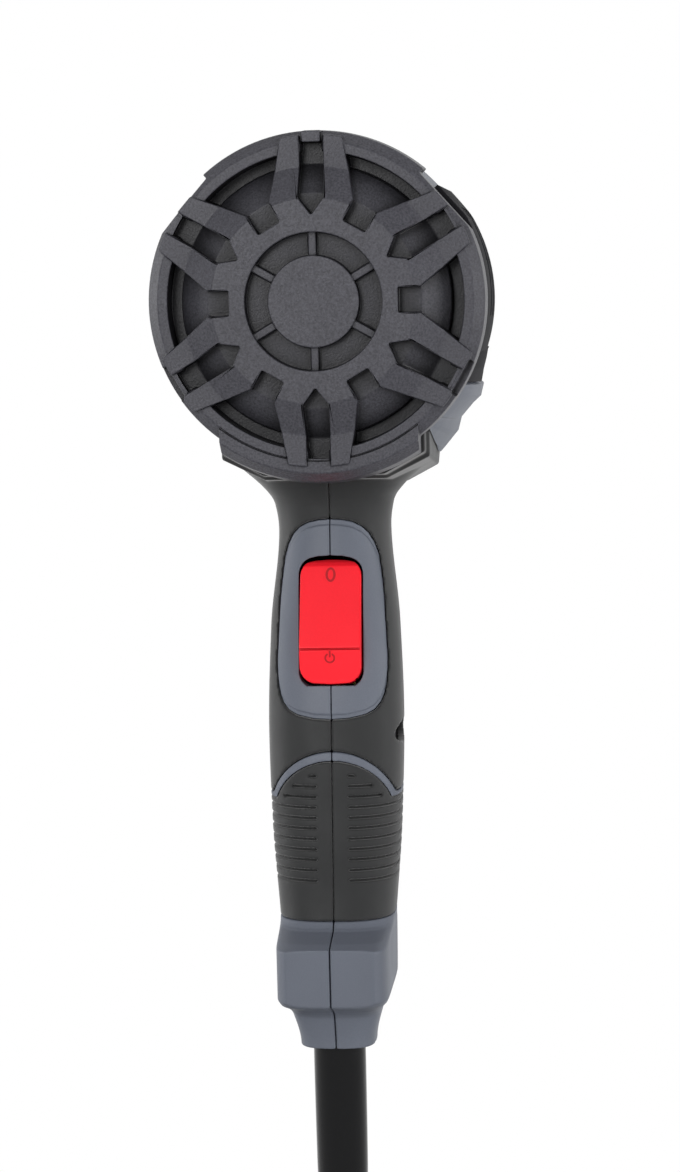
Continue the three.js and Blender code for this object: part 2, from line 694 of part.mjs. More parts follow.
function makeSwitchBody() {
  const { y, top, bottom, half } = switchBody;
  const block = box([-half, half], y, [-bottom, -top]);
  const ears = [-1, 1].map((side) => {
    const [a, b] = side > 0 ? ear.x : [-ear.x[1], -ear.x[0]];
    const centre = -rockerPivotDrop;
    const plate = prismX([
      [y[0] + 0.5, centre - ear.halfWidth - 2], [rockerPivotY, centre - ear.halfWidth],
      [rockerPivotY - 1.2, centre - 2.3], [rockerPivotY - 2.3, centre - 1], [rockerPivotY - 2.3, centre + 1],
      [rockerPivotY - 1.2, centre + 2.3],
      [rockerPivotY, centre + ear.halfWidth], [y[0] + 0.5, centre + ear.halfWidth + 2],
    ], a, b);
    return plate;
  });
  const pinHole = rod('x', rockerPin.radius + clearance, [-20, 20], [rockerPivotY, -rockerPivotDrop], 16);
  return cut(join(block, ears), pinHole);
}
const switchTerminals = [-4.6, 0, 4.6];
function makeTerminal(x) {
  const { y, bottom } = switchBody;
  return box([x - 0.4, x + 0.4], [y[0] + 5, y[0] + 11], [-bottom - 9, -bottom - clearance]);
}

// Housing halves

const outletBore = sleeveRadius + clearance;
const clampSeat = { y: outletY - leadDiameter / 2 - clearance, top: footDrop - 0.4, bottom: footDrop + 6 };

function makeHousing() {
  const under = skin + clearance;
  const full = handleLoft(0, handleTop, outletDrop);
  const core = coreLoft(under, 30, heelDrop + 1);
  const plate = common(full, platePrism(clearance));
  const strip = cut(common(full, belowArch(clearance)), belowArch(3 - clearance));
  const footSpace = box([-farSide, farSide], [0, farFront], [farBelow, -heelDrop - clearance]);
  const foot = common(full, footSpace);
  const cheeks = common(join(makeCheek(-1), makeCheek(1)), saddleBlend());
  const barrelForm = cut(revolve(headOuter()), upperFlats(0));
  const head = join(barrelForm, cut(cheeks, makeSaddle(-clearance, capDepth)));
  return join(head, core, plate, strip, foot);
}

function housingVoids() {
  const inset = skin + clearance + wall;
  const cavity = coreLoft(inset, 20, footFloorDrop);
  const outlet = rod('z', outletBore, [-outletDrop - 5, -footFloorDrop + 1], [0, outletY], 16);
  const slot = prismY(slotOutline(0), -5, stationAt(rockerPivotDrop).middle);
  return [revolve(headInner(), motorSides), cavity, outlet, slot];
}

function housingRibs() {
  // Ledges that hold the switch, the blower duct and the cord clamp
  const { y, top, bottom, half } = switchBody;
  const ledges = [-1, 1].flatMap((side) => {
    const x = side > 0 ? [half + clearance, 15] : [-15, -half - clearance];
    return [
      box(x, [y[0] + 2, y[1] - 2], [-top - 3, -top]),
      box(x, [y[0] + 2, y[1] - 2], [-bottom, -bottom + 3]),
    ];
  });
  const clampBlock = box([-13, 13], [2, clampSeat.y], [-clampSeat.bottom, -clampSeat.top]);
  return [...ledges.map((ledge) => common(ledge, coreLoft(skin + clearance + 0.5, 60, 110))), clampBlock];
}

// All that lies on one side of the seam
const sideSpace = (side) => box(
  side > 0 ? [seamGap / 2, farSide] : [-farSide, -seamGap / 2], [farRear, farFront], [farBelow, farSide]);

function makeHalf(side, shell, voids, ribs) {
  const hollow = cut(shell, voids, grillePocket(side));
  const bosses = common(join(bossesFor(side)), shell);
  const clampHoles = clampScrews.map((x) => rod('y', clampScrew.radius + 0.2, [8, 40], [x, clampMiddle], 12));
  return halfOf(cut(join(hollow, bosses, ribs), screwVoids(side), clampHoles), side);
}

// Cord clamp inside the foot
const clampMiddle = -(clampSeat.top + clampSeat.bottom) / 2;
const clampScrew = { radius: 1.3, length: 15, head: 2.4 };
const clampScrews = [-7.8, 7.8];
function makeClamp() {
  const y0 = outletY + leadDiameter / 2 + clearance;
  const bar = box([-10.8, 10.8], [y0, y0 + 3.4], [-clampSeat.bottom, -clampSeat.top]);
  const holes = clampScrews.map((x) => rod(
    'y', clampScrew.radius + clearance, [y0 - 1, y0 + 5], [x, clampMiddle], 12));
  return cut(bar, holes);
}
function makeClampScrew(x) {
  const face = outletY + leadDiameter / 2 + clearance + 3.4 + clearance;
  return join(
    rod('y', clampScrew.head, [face, face + 1.8], [x, clampMiddle], 14),
    rod('y', clampScrew.radius, [face - clampScrew.length, face + 0.4], [x, clampMiddle], 12),
  );
}

// Soft skins of the handle

const collarStep = 22.5;
function makeSkin(full) {
  const coreSpace = coreLoft(skin, 28, heelDrop + 2);
  const layers = join(makeSaddle(0.9, capDepth + clearance), makeSaddle(0, collarStep));
  const collars = common(layers, saddleBlend());
  const barrelSpace = revolve(headOuter(clearance));
  const below = cut(full, box([-farSide, farSide], handleSpace, [farBelow, archBase + 5]));
  const outer = join(collars, below);
  const recesses = [screwSpots[0], screwSpots[2]].map((spot) => screwRecess(spot));
  return cut(outer, coreSpace, barrelSpace, platePrism(0), belowArch(0), recesses);
}

function makeGripPad(full) {
  const region = common(belowArch(3), box([-farSide, farSide], handleSpace, [-heelDrop, 0]));
  const pad = cut(common(full, region), coreLoft(skin, 40, heelDrop + 2));
  const deep = coreLoft(1, 110, heelDrop + 1);
  const grooves = [];
  for (let i = 0; i < ribCount; i += 1) {
    const z = -ribTopDrop - i * ribPitch;
    for (const side of [-1, 1]) {
      const x = side > 0 ? [ribInner, 40] : [-40, -ribInner];
      grooves.push(box(x, [-10, 50], [z - ribGroove / 2, z + ribGroove / 2]));
    }
  }
  const margin = cut(belowArch(3 + 2.6), box([-ribInner, ribInner], [-20, 120], [-300, 0]));
  return cut(pad, common(cut(join(grooves), deep), margin), screwRecess(screwSpots[1]));
}

const halfOf = (solid, side) => common(solid, sideSpace(side));

// Front guard and nozzle

const guardStart = headLength + 2 * clearance + 1.2;
function makeGuard() {
  const end = guardStart + guardLength;
  const outer = shoulderRadius - 0.8;
  const lip = nozzleRadius + 1.6;
  const shell = revolve([
    [lip, guardStart], [outer, guardStart], [outer, guardStart + 5], [outer - 6.6, end - 4],
    [outer - 7.6, end], [lip, end], [lip, end - 2.4], [outer - 9.4, end - 4],
    [outer - 3, guardStart + 2.6], [lip, guardStart + 2.6],
  ], smallSides);
  const slots = Array.from({ length: guardSlots }, (_, i) => {
    const angle = (i + 0.25) * 2 * Math.PI / guardSlots;
    return box([lip + 5, farSide], [guardStart + 9, end - 6], [-1.9, 1.9], angle);
  });
  return cut(shell, slots);
}

const tubeStart = headLength - 18;
const flangeRadius = 26;
function makeNozzle() {
  const inner = nozzleRadius - nozzleWall;
  const flange = headLength + clearance;
  return revolve([
    [inner, tubeStart], [nozzleRadius, tubeStart], [nozzleRadius, flange], [flangeRadius, flange],
    [flangeRadius, flange + 1.2], [nozzleRadius, flange + 1.2], [nozzleRadius, nozzleEnd - 3.6],
    [nozzleRadius + 0.7, nozzleEnd - 2.6], [nozzleRadius + 0.7, nozzleEnd - 0.6],
    [nozzleRadius + 0.2, nozzleEnd], [inner, nozzleEnd],
  ], smallSides);
}

const micaOuter = nozzleRadius - nozzleWall - clearance;
const makeMicaTube = () => tube(micaOuter - 0.7, micaOuter, tubeStart + 2, coreEnd + 6, smallSides);

function makeMicaCore() {
  const arms = [0, Math.PI / 2].map((angle) => box(
    [-coreRadius, coreRadius], [coreStart, coreEnd], [-0.6, 0.6], angle));
  return join(arms);
}

function makeHeatingCoil() {
  const radius = coreRadius + wireRadius + clearance;
  const steps = 8;
  const length = coreEnd - coreStart - 12;
  const path = Array.from({ length: windings * steps + 1 }, (_, i) => {
    const turn = 2 * Math.PI * (i + 0.5) / steps;
    const reach = radius / Math.cos(Math.PI / steps);
    return new THREE.Vector3(
      reach * Math.cos(turn), coreStart + 6 + length * i / (windings * steps), reach * Math.sin(turn));
  });
  console.log('heating coil: gap between turns', (length / windings - 2 * wireRadius).toFixed(2), 'mm');
  return sweep(path, wireRadius, 5);
}

function makeHeaterBase() {
  const start = coreStart - clearance - 4;
  const rimOuter = micaOuter - 0.7 - clearance;
  const rim = tube(rimOuter - 2, rimOuter, start, start + 4, motorSides);
  const hub = tube(0, 3, start, start + 4, 8);
  const spokes = [0, 1, 2].map((i) => box(
    [-micaOuter + 2, micaOuter - 2], [start, start + 4], [-1, 1], i * Math.PI / 3 + Math.PI / 6));
  return join(rim, hub, ...spokes);
}

function makeThermalFuse() {
  return rod('y', 1.7, [coreStart + 14, coreStart + 26], [0.6 + clearance + 1.7, 7], 12);
}

// Blower: duct with stator vanes, motor and fan

function makeDuct() {
  const [rear, flange, end] = [fanStart - 17, fanStart + 11, tubeStart - clearance];
  const throat = flange + 8;
  const seat = radiusAt(headInner(), flange + 2.4) - clearance;
  const inner = nozzleRadius - nozzleWall;
  const shell = revolve([
    [ductBore, rear], [ductBore + 1.8, rear], [ductBore + 1.8, flange], [seat, flange],
    [seat, flange + 2.4], [ductBore + 1.8, flange + 2.4], [ductBore + 1.8, throat + 1],
    [inner + 2, end], [inner, end], [ductBore, throat],
  ], motorSides);
  const ring = tube(motorRadius + clearance, motorRadius + clearance + 1.8, rear, rear + 9, motorSides);
  const vanes = Array.from({ length: 5 }, (_, i) => box(
    [motorRadius + clearance + 0.9, ductBore + 0.9], [rear, rear + 9], [-0.8, 0.8], i * 2 * Math.PI / 5));
  return join(shell, ring, ...vanes);
}

const motorEnd = motorStart + motorLength;
const bearing = { outer: 4.4, inner: shaftRadius + 0.05, length: 3 };
function makeMotorCan() {
  const inner = motorRadius - 1;
  const seat = bearing.outer + clearance;
  return revolve([
    [inner, motorStart], [motorRadius, motorStart], [motorRadius, motorEnd], [seat + 1.4, motorEnd],
    [seat + 1.4, motorEnd + 2], [seat, motorEnd + 2], [seat, motorEnd - 1.2], [inner, motorEnd - 1.2],
  ], motorSides);
}
function makeEndBell() {
  const seat = bearing.outer + clearance;
  const start = motorStart - clearance - 1.6;
  return revolve([
    [seat, start - 1.6], [seat + 1.4, start - 1.6], [seat + 1.4, start], [motorRadius, start],
    [motorRadius, start + 1.6], [seat, start + 1.6],
  ], motorSides);
}
const rearBearingStart = motorStart - clearance - 1.6 - 1.4;
const frontBearingStart = motorEnd - 1.1;
const makeBearing = (start) => tube(bearing.inner, bearing.outer, start, start + bearing.length, 16);

function makeArmature() {
  const core = tube(shaftRadius + 0.05, 12.4, motorStart + 8, motorEnd - 12, 16);
  const slots = Array.from({ length: 8 }, (_, i) => box(
    [9, 20], [0, 100], [-0.7, 0.7], i * Math.PI / 4));
  return cut(core, slots);
}
const makeCommutator = () => tube(shaftRadius + 0.05, 5, motorStart + 1.5, motorStart + 7.7, 16);
const makeShaft = () => tube(0, shaftRadius, rearBearingStart, fanStart + fanLength - 2.4 - clearance, 16);

function makeFan() {
  const hub = revolve([
    [0, fanStart + fanLength], [4, fanStart + fanLength], [9, fanStart + fanLength - 4], [9, fanStart],
    [0, fanStart],
  ], bladeCount);
  const chord = fanLength - 1.4;
  const tip = Math.sqrt(fanRadius ** 2 - (chord / 2) ** 2);
  const blades = Array.from({ length: bladeCount }, (_, i) => {
    const blade = new THREE.BoxGeometry(tip - 6, 1.2, chord);
    blade.rotateX(-Math.PI / 4).translate((tip + 6) / 2, fanStart + fanLength / 2, 0);
    blade.rotateY(i * 2 * Math.PI / bladeCount);
    return solidOf(blade);
  });
  const bore = tube(0, shaftRadius + 0.1, fanStart - 1, fanStart + fanLength - 2.4, 12);
  return cut(join(hub, ...blades), bore);
}

function makeBoard() {
  const end = motorStart - clearance - 3.2 - clearance;
  const disc = tube(6.4, 16, end - 1.5, end, motorSides);
  const feet = [Math.PI / 4, Math.PI * 1.25].map((angle) => box(
    [9, 12.4], [end - 0.5, end + 1.3], [-2, 2], angle));
  return join(disc, ...feet);
}

// Lead: the sleeve, the part inside the foot, the free stretch, the coil, its tie and the plug

const sleeveFlange = { radius: 9.2, thickness: 3 };
const sleeveEnd = outletDrop + sleeveLength;
const leadBore = leadDiameter / 2 + clearance;
function makeSleeve() {
  const seat = footFloorDrop - clearance;
  const profile = [
    [leadBore, sleeveEnd], [5.6, sleeveEnd], [6, sleeveEnd - 1], [sleeveRadius - 0.2, outletDrop + 36],
    [sleeveRadius, outletDrop - 4], [sleeveRadius, seat], [sleeveFlange.radius, seat],
    [sleeveFlange.radius, seat - sleeveFlange.thickness], [leadBore, seat - sleeveFlange.thickness],
  ].map(([radius, drop]) => new THREE.Vector2(radius, -drop));
  profile.push(profile[0].clone());
  const geometry = new THREE.LatheGeometry(profile, 16);
  geometry.rotateX(Math.PI / 2).translate(0, outletY, 0);
  return solidOf(geometry);
}
const makeInnerLead = () => rod(
  'z', leadDiameter / 2, [-sleeveEnd + 0.6, -clampSeat.top + 6], [0, outletY], 16);

const leadStraight = 6;

function freeStretchPath() {
  const top = -sleeveEnd - clearance;
  const corner = -sleeveEnd - leadStraight;
  const path = [[top], [top - 2], [corner]].map(([z]) => new THREE.Vector3(0, outletY, z));
  const steps = 8;
  for (let i = 1; i <= steps; i += 1) {
    const turn = Math.PI / 2 * i / steps;
    path.push(new THREE.Vector3(
      0, outletY + leadBend * (1 - Math.cos(turn)), corner - leadBend * Math.sin(turn)));
  }
  path.push(path.at(-1).clone().add(new THREE.Vector3(0, 2, 0)));
  return path;
}

// Two layers of flat spiral: in, then up and out again
const coilPitch = leadDiameter + 0.5;
const coilTurns = 6.5;
const plugTail = 25;
function coilPath() {
  const start = freeStretchPath().at(-1).clone().add(new THREE.Vector3(0, clearance, 0));
  const straight = leadDiameter;
  const freeLength = leadStraight + leadBend * Math.PI / 2 + 2;
  const woundLength = leadTotal - freeLength - straight - plugTail;
  const meanRadius = woundLength / (2 * Math.PI * coilTurns);
  const outerRadius = meanRadius + coilPitch * coilTurns / 4;
  const centre = start.clone().add(new THREE.Vector3(-outerRadius, straight, 0));
  const path = [start, start.clone().add(new THREE.Vector3(0, straight * 0.6, 0))];
  const steps = 22;
  for (let i = 0; i <= coilTurns * steps; i += 1) {
    const turns = i / steps;
    const fromMiddle = turns - coilTurns / 2;
    const radius = outerRadius - coilPitch * (coilTurns / 2 - Math.abs(fromMiddle));
    const climb = Math.min(Math.max(fromMiddle * 2 + 0.5, 0), 1);
    const height = coilPitch * (1 - Math.cos(Math.PI * climb)) / 2;
    const turn = 2 * Math.PI * turns;
    path.push(new THREE.Vector3(
      centre.x + radius * Math.cos(turn), centre.y + radius * Math.sin(turn), centre.z + height));
  }
  const end = path.at(-1);
  path.push(end.clone().add(new THREE.Vector3(0, -plugTail * 0.4, 0)));
  path.push(end.clone().add(new THREE.Vector3(0, -plugTail, 0)));
  return { path, centre, outerRadius, innerRadius: outerRadius - coilPitch * coilTurns / 2 };
}

function leastGap(path, diameter, skip) {
  const line = new THREE.CatmullRomCurve3(path).getPoints(path.length * 3);
  let least = Infinity;
  for (let i = 0; i < line.length; i += 1) {
    for (let j = i + skip; j < line.length; j += 1) least = Math.min(least, line[i].distanceTo(line[j]));
  }
  return least - diameter;
}

function makeTie({ centre, outerRadius, innerRadius }) {
  // Below the coil's centre, where both layers lie over each other
  const margin = 0.9;
  const strap = 0.8;
  const near = innerRadius + coilPitch * 0.5 - leadDiameter / 2 - margin;
  const far = outerRadius - coilPitch * 0.75 + leadDiameter / 2 + margin;
  const low = centre.z - leadDiameter / 2 - 0.3;
  const high = centre.z + coilPitch + leadDiameter / 2 + 0.3;
  const loop = (grow) => [
    [centre.y - far - grow, low - grow], [centre.y - near + grow, low - grow],
    [centre.y - near + grow, high + grow], [centre.y - far - grow, high + grow],
  ];
  return cut(
    prismX(loop(strap), centre.x - 4.5, centre.x + 4.5),
    prismX(loop(0), centre.x - 6, centre.x + 6),
  );
}

// Plug: drawn along its own axis from the cable end, then laid beside the coil
const plug = { length: 38, width: 27, height: 24.4, neck: 14 };
function plugRing(distance, halfWidth, halfHeight, power) {
  const sides = 16;
  return Array.from({ length: sides }, (_, i) => {
    const turn = 2 * Math.PI * (i + 0.5) / sides;
    const [u, v] = [Math.cos(turn), Math.sin(turn)];
    return new THREE.Vector3(
      Math.sign(u) * Math.abs(u) ** (2 / power) * halfWidth, -distance,
      Math.sign(v) * Math.abs(v) ** (2 / power) * halfHeight);
  });
}
function makePlugBody(at) {
  const [w, h] = [plug.width / 2, plug.height / 2];
  const body = loft([
    plugRing(0, 5.2, 5.2, 2), plugRing(plug.neck, 6.4, 6.4, 2),
    plugRing(plug.neck + 4, w * 0.78, h * 0.8, 2.6),
    plugRing(plug.neck + 9, w, h, 3.4), plugRing(plug.neck + plug.length - 9, w, h, 3.6),
    plugRing(plug.neck + plug.length, w * 0.86, h * 0.88, 3.8),
  ]);
  const sockets = [-1, 1].map((side) => box(
    [side * 6.35 - 0.75 - 0.2, side * 6.35 + 0.75 + 0.2],
    [-plug.neck - plug.length - 1, -plug.neck - plug.length + 6], [-3.35, 3.35]));
  return cut(body, sockets).translate([at.x, at.y, at.z]);
}
function makePlugBlade(at, side) {
  const x = side * 6.35;
  const face = -plug.neck - plug.length;
  const outline = [
    [face + 5.6, -3.15], [face + 5.6, 3.15], [face - 16, 3.15], [face - 17.5, 1.6], [face - 17.5, -1.6],
    [face - 16, -3.15],
  ];
  return prismX(outline, x - 0.75, x + 0.75).translate([at.x, at.y, at.z]);
}

// Assembly

const tool = new THREE.Group();
const barrel = new THREE.Group();
const gripY = stationAt(palmDrop).middle + 7;
barrel.position.set(0, -gripY, palmDrop);
tool.add(barrel);

function add(name, solid, look, parent = barrel) {
  const mesh = new THREE.Mesh(geometryOf(solid), new THREE.MeshStandardMaterial(finish[look]));
  mesh.name = name;
  parent.add(mesh);
  return mesh;
}

const sides = { left: -1, right: 1 };
const shell = makeHousing();
const voids = housingVoids();
const ribs = housingRibs();
const handleForm = handleLoft(0, handleTop, heelDrop + 4);
const overmould = makeSkin(handleForm);
const gripPad = makeGripPad(handleForm);
for (const [name, side] of Object.entries(sides)) {
  add(`${name}_housing`, makeHalf(side, shell, voids, ribs), 'shell');
  add(`${name}_overmould`, halfOf(overmould, side), 'rubber');
  add(`${name}_grip_pad`, halfOf(gripPad, side), 'rubber');
  add(`${name}_grille`, makeGrille(side), 'guard');
}
add('rear_cap', makeRearCap(), 'cap');
add('front_guard', makeGuard(), 'guard');
add('nozzle_tube', makeNozzle(), 'steel');
add('mica_tube', makeMicaTube(), 'mica');
add('mica_core', makeMicaCore(), 'mica');
add('heating_coil', makeHeatingCoil(), 'wire');
add('heater_base', makeHeaterBase(), 'nylon');
add('thermal_fuse', makeThermalFuse(), 'steel');
add('blower_duct', makeDuct(), 'nylon');
add('motor_can', makeMotorCan(), 'steel');
add('motor_end_bell', makeEndBell(), 'nylon');
add('rear_bearing', makeBearing(rearBearingStart), 'brass');
add('front_bearing', makeBearing(frontBearingStart), 'brass');
add('rectifier_board', makeBoard(), 'board');

const rotor = new THREE.Group();
barrel.add(rotor);
add('motor_shaft', makeShaft(), 'steel', rotor);
add('armature', makeArmature(), 'steel', rotor);
add('commutator', makeCommutator(), 'brass', rotor);
add('fan', makeFan(), 'nylon', rotor);

add('rocker', makeRocker(), 'switchRed');
add('rocker_pin', rod('x', rockerPin.radius, [-rockerPin.half, rockerPin.half],
  [rockerPivotY, -rockerPivotDrop], 16), 'steel');
add('switch_body', makeSwitchBody(), 'guard');
switchTerminals.forEach((x, i) => add(`switch_terminal_${i + 1}`, makeTerminal(x), 'brass'));

for (const spot of screwSpots) add(spot.name, makeScrew(spot), 'steel');
add('cord_clamp', makeClamp(), 'nylon');
clampScrews.forEach((x, i) => add(`clamp_screw_${i + 1}`, makeClampScrew(x), 'steel'));

add('cord_sleeve', makeSleeve(), 'lead');
add('inner_lead', makeInnerLead(), 'lead');
add('mains_cord', sweep(freeStretchPath(), leadDiameter / 2, 8), 'lead');
const coil = coilPath();
const coilGap = leastGap(coil.path, leadDiameter, 40);
const coilReach = [coil.innerRadius, coil.outerRadius].map((radius) => radius.toFixed(1));
console.log('cord coil: least gap to itself', coilGap.toFixed(2), 'mm, from radius', ...coilReach, 'mm');
add('cord_coil', sweep(coil.path, leadDiameter / 2, 6), 'lead');
add('cord_tie', makeTie(coil), 'guard');
const plugAt = coil.path.at(-1).clone().add(new THREE.Vector3(0, -clearance, 0));
add('plug_body', makePlugBody(plugAt), 'lead');
add('plug_blade_left', makePlugBlade(plugAt, -1), 'brass');
add('plug_blade_right', makePlugBlade(plugAt, 1), 'brass');

export default tool;
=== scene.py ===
"""Hot air tool: the fine surfaces and finishes of every piece, its put-away lead, and a plain pale stage.

Lengths in the making functions are millimetres in the barrel's own frame: Y runs along the barrel towards
the nozzle and is 0 at the face of the rear cap's hub, Z is up, X is to the right seen from behind.
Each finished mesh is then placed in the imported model's frame, in metres, with the hand grip at the origin.
"""
import math

import bmesh
import bpy
from bpy.props import FloatProperty, FloatVectorProperty, IntProperty, PointerProperty
from mathutils import Matrix, Vector


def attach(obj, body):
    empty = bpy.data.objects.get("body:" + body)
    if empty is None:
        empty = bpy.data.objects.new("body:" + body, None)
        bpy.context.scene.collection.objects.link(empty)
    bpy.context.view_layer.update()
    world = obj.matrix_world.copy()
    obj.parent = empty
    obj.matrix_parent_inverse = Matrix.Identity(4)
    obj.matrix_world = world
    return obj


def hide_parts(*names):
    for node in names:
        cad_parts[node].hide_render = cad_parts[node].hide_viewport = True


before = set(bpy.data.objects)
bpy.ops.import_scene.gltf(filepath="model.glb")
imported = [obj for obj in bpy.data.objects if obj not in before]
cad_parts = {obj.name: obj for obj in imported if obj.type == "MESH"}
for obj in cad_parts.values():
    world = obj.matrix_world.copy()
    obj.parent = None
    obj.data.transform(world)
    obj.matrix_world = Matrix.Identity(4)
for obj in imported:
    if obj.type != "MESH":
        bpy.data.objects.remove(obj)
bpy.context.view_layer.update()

bl_info = {
    "name": "Hot air tool",
    "version": (1, 0, 0),
    "blender": (4, 5, 0),
    "location": "View3D > Sidebar > Hot air tool",
    "description": "Makes the fine surfaces and finishes of a hot air tool on its packed model",
    "category": "Object",
}

# Frame
MM = 0.001
GRIP = Vector((0.0, 42.0, -114.0))
CASING = "casing"
SIDES = ((-1, "left"), (1, "right"))

# Fits
CLEARANCE = 0.3
SEAM = 0.1

# Rear cap
CAP_RADIUS = 44.2
CAP_DEPTH = 16.0
CAP_FLARE = 0.4
CAP_CHAMFER = 2.8
HUB_RADIUS = 26.6
GROOVE_INNER = 11.9
GROOVE_OUTER = 17.9
GROOVE_DEPTH = 3.6
HUB_RIB_WIDTH = 2.0
HUB_RIB_DROP = 1.3
DISH_DEPTH = 0.5
SPOKES = 6
SPOKE_DROP = 4.6
SLOPE_END = 34.9
RIM_INNER = 38.8
RIM_DROP = 5.2
WINDOW_DEPTH = 9.4
CHANNEL_DEPTH = 12.4
NOTCH_DEPTH = 4.2
NOTCH_WIDTH = 6.6
NOTCH_INNER = 22.0
POCKET_TIP = 22.3
POCKET_WIDTH = 7.0
POCKET_END = 41.3
FLAT_DISTANCE = 42.4
CHIN_HALF = 26.2
UPPER_FLAT_TURN = math.pi * 0.23
LOWER_FLAT_TURN = -math.pi * 0.164
CHIN_RADIUS = 48.2
CHIN_BEVEL = 3.4
CHIN_TOP = -28.0
TAB_HALF_WIDTH = 2.4

# Barrel
BARREL_RADIUS = 43.6
BARREL_LENGTH = 136.0
BARREL_WALL = 2.8
FRONT_WALL = 4.0
REAR_MOUTH = 37.5
REAR_SPIGOT = 40.9
NOZZLE_HOLE = 18.2
SHOULDER = 35.0
SADDLE_HALF = 28.0
SADDLE_FLAT_HALF = 16.0
SADDLE_DROP = 46.9
SADDLE_GROWTH = 4.1
SADDLE_FAR = 60.0
CHEEK_FAR = 58.0
CHEEK_NEAR_RADIUS = 44.2
BLEND_END = 96.0
COLLAR_STEP = 22.5

# Side panels: from and to angles in degrees, start and end along the barrel
PANEL = (-19.0, 43.0, 17.0, 78.0)
LIP = (-30.6, -18.4, 17.0, 62.0)
PANEL_PROUD = 1.4
PANEL_THICKNESS = 3.1
GRILLE_SLOTS = 5
GRILLE_PITCH = 9.2

# Handle and foot
NECK_DROP = 62.0
PALM_DROP = 114.0
HEEL_DROP = 166.0
FOOT_DROP = 171.4
FOOT_HEIGHT = 14.0
FOOT_WIDTH = 30.2
FOOT_TRIM = 1.2
GRIP_DEPTH = 44.5
SKIN = 1.8
CORE_INSET = 5.5
PALM_RECESS = (36.5, -117.5)
PALM_RECESS_REACH = (9.8, 3.1)
ARCH_BASE = -138.0
ARCH_DEPTH = 44.0
ARCH_SPRING = 5.4
FOOT_LINE_TOP = 1.55
FOOT_LINE_BOTTOM = 1.95
PLATE_MIDDLE = -86.0
PLATE_HALF_WIDTH = 15.2
PLATE_HALF_HEIGHT = 26.5
OUTLET_DROP = 200.8
OUTLET_RADIUS = 10.2
OUTLET_Y = 22.0

# Ribs of the grip
RIBS = 11
RIB_PITCH = 2.8
RIB_GROOVE = 0.8
RIB_TOP = 127.4
RIB_INNER = 4.1

# Switch
ROCKER_WIDTH = 16.6
ROCKER_TOP = 70.1
ROCKER_BOTTOM = 103.1
ROCKER_PIVOT = (28.0, -86.0)
ROCKER_END = 17.9
ROCKER_TURN = math.radians(12)
ROCKER_SLOPE = 0.41
ROCKER_CREASE = 93.2
ROCKER_EDGE = 97.8
ROCKER_REAR = 30.25
ROCKER_BACK = 33.4
ROCKER_SHOULDER = 71.6
ROCKER_GAP = 0.45
ROCKER_WALL = 1.3
CROWN_END = 76.0
LIP_RISE = 0.45
ZERO_DROP = 73.9
POWER_DROP = 95.6
SWITCH_SLOT = 17.5
SLOT_TOP = 69.0
SLOT_BOTTOM = 104.2

# Nozzle, heater and guard
NOZZLE_RADIUS = 17.5
NOZZLE_WALL = 0.9
NOZZLE_START = 118.0
NOZZLE_END = 238.0
FLANGE_RADIUS = 26.0
FLANGE_THICKNESS = 1.2
HEATER_START = 126.0
HEATER_END = 200.0
HEATER_RADIUS = 11.4
HEATER_WIRE = 0.8
GUARD_LENGTH = 30.0
GUARD_NECK_INSET = 2.4
GUARD_SLOTS = 10
GUARD_SLOT_HALF = 1.9

# Lead
LEAD = 7.4
LEAD_TOTAL = 1830.0
SLEEVE_LENGTH = 60.0
SLEEVE_RADIUS = 7.1
SLEEVE_TIP = 6.0
SLEEVE_FLANGE = 9.2
SLEEVE_FLANGE_HEIGHT = 3.0
LEAD_STRAIGHT = 6.0
LEAD_BEND = 34.0
COIL_PITCH = LEAD + 0.5
COIL_TURNS = 6.5
PLUG_TAIL = 25.0
PLUG_LENGTH = 38.0
PLUG_WIDTH = 27.0
PLUG_HEIGHT = 24.4
PLUG_NECK = 14.0
NECK_GROOVES = 4
NECK_PITCH = 2.8
THUMB_GROOVES = 5
THUMB_PITCH = 3.6
THUMB_HALF_WIDTH = 6.5
BLADE_SPACING = 12.7
BLADE_HALF_WIDTH = 3.15
BLADE_HALF_THICKNESS = 0.75
STRAP_THICKNESS = 0.8
STRAP_HALF_WIDTH = 4.5

# Screws of the casing: name, place along the barrel, height, and the depth of the recess's floor
SCREW_RECESS = 3.4
SCREW_HEAD = 2.8
SCREW_HEAD_HEIGHT = 2.0
SCREW_SHANK = 1.4
SCREW_LENGTH = 17.0
SCREW_CROSS = (1.7, 0.4)
SCREWS = (
    ("housing_screw_palm", 43, -117.5, 12.6),
    ("housing_screw_heel", 46, -158, 10.4),
    ("housing_screw_neck", 66, -60, 8.6),
    ("housing_screw_front_upper", 124, 26.6, 15),
    ("housing_screw_front_lower", 124, -26.6, 15),
)

# Camera, worked out from the cap's outline and the handle's edges in the photograph
PHOTO_SIZE = (680, 1172)
FOCAL_PIXELS = 2918.0
CAMERA_PLACE = Vector((77.8, -753.6, 5.6))
CAMERA_AZIMUTH = math.radians(5.5)
CAMERA_ELEVATION = math.radians(6.0)
CAMERA_ROLL = math.radians(1.4)
FLOOR_DROP = 305.6

# Stage, in metres: how far the floor reaches, where it fades to white, and the lamps round the barrel
FLOOR_REACH = 4.0
FLOOR_FADE = (0.215, 0.268)
WORLD_LIGHT = 0.12
LAMP_AIM = (0.0, 0.0, 0.05)
LAMPS = (
    ("key", (-0.36, -1.36, 0.42), (0.4, 0.6)),
    ("strip", (0.85, -1.1, 0.12), (0.1, 0.5)),
    ("fill", (1.2, -0.3, 0.1), (0.5, 1.0)),
    ("edge", (-1.25, 0.1, 0.1), (0.6, 1.2)),
    ("top", (0.0, 0.3, 1.25), (0.9, 0.6)),
)


def lamp_power(label, text, default):
    return FloatProperty(name=label, description=text, default=default, min=0, subtype="POWER")


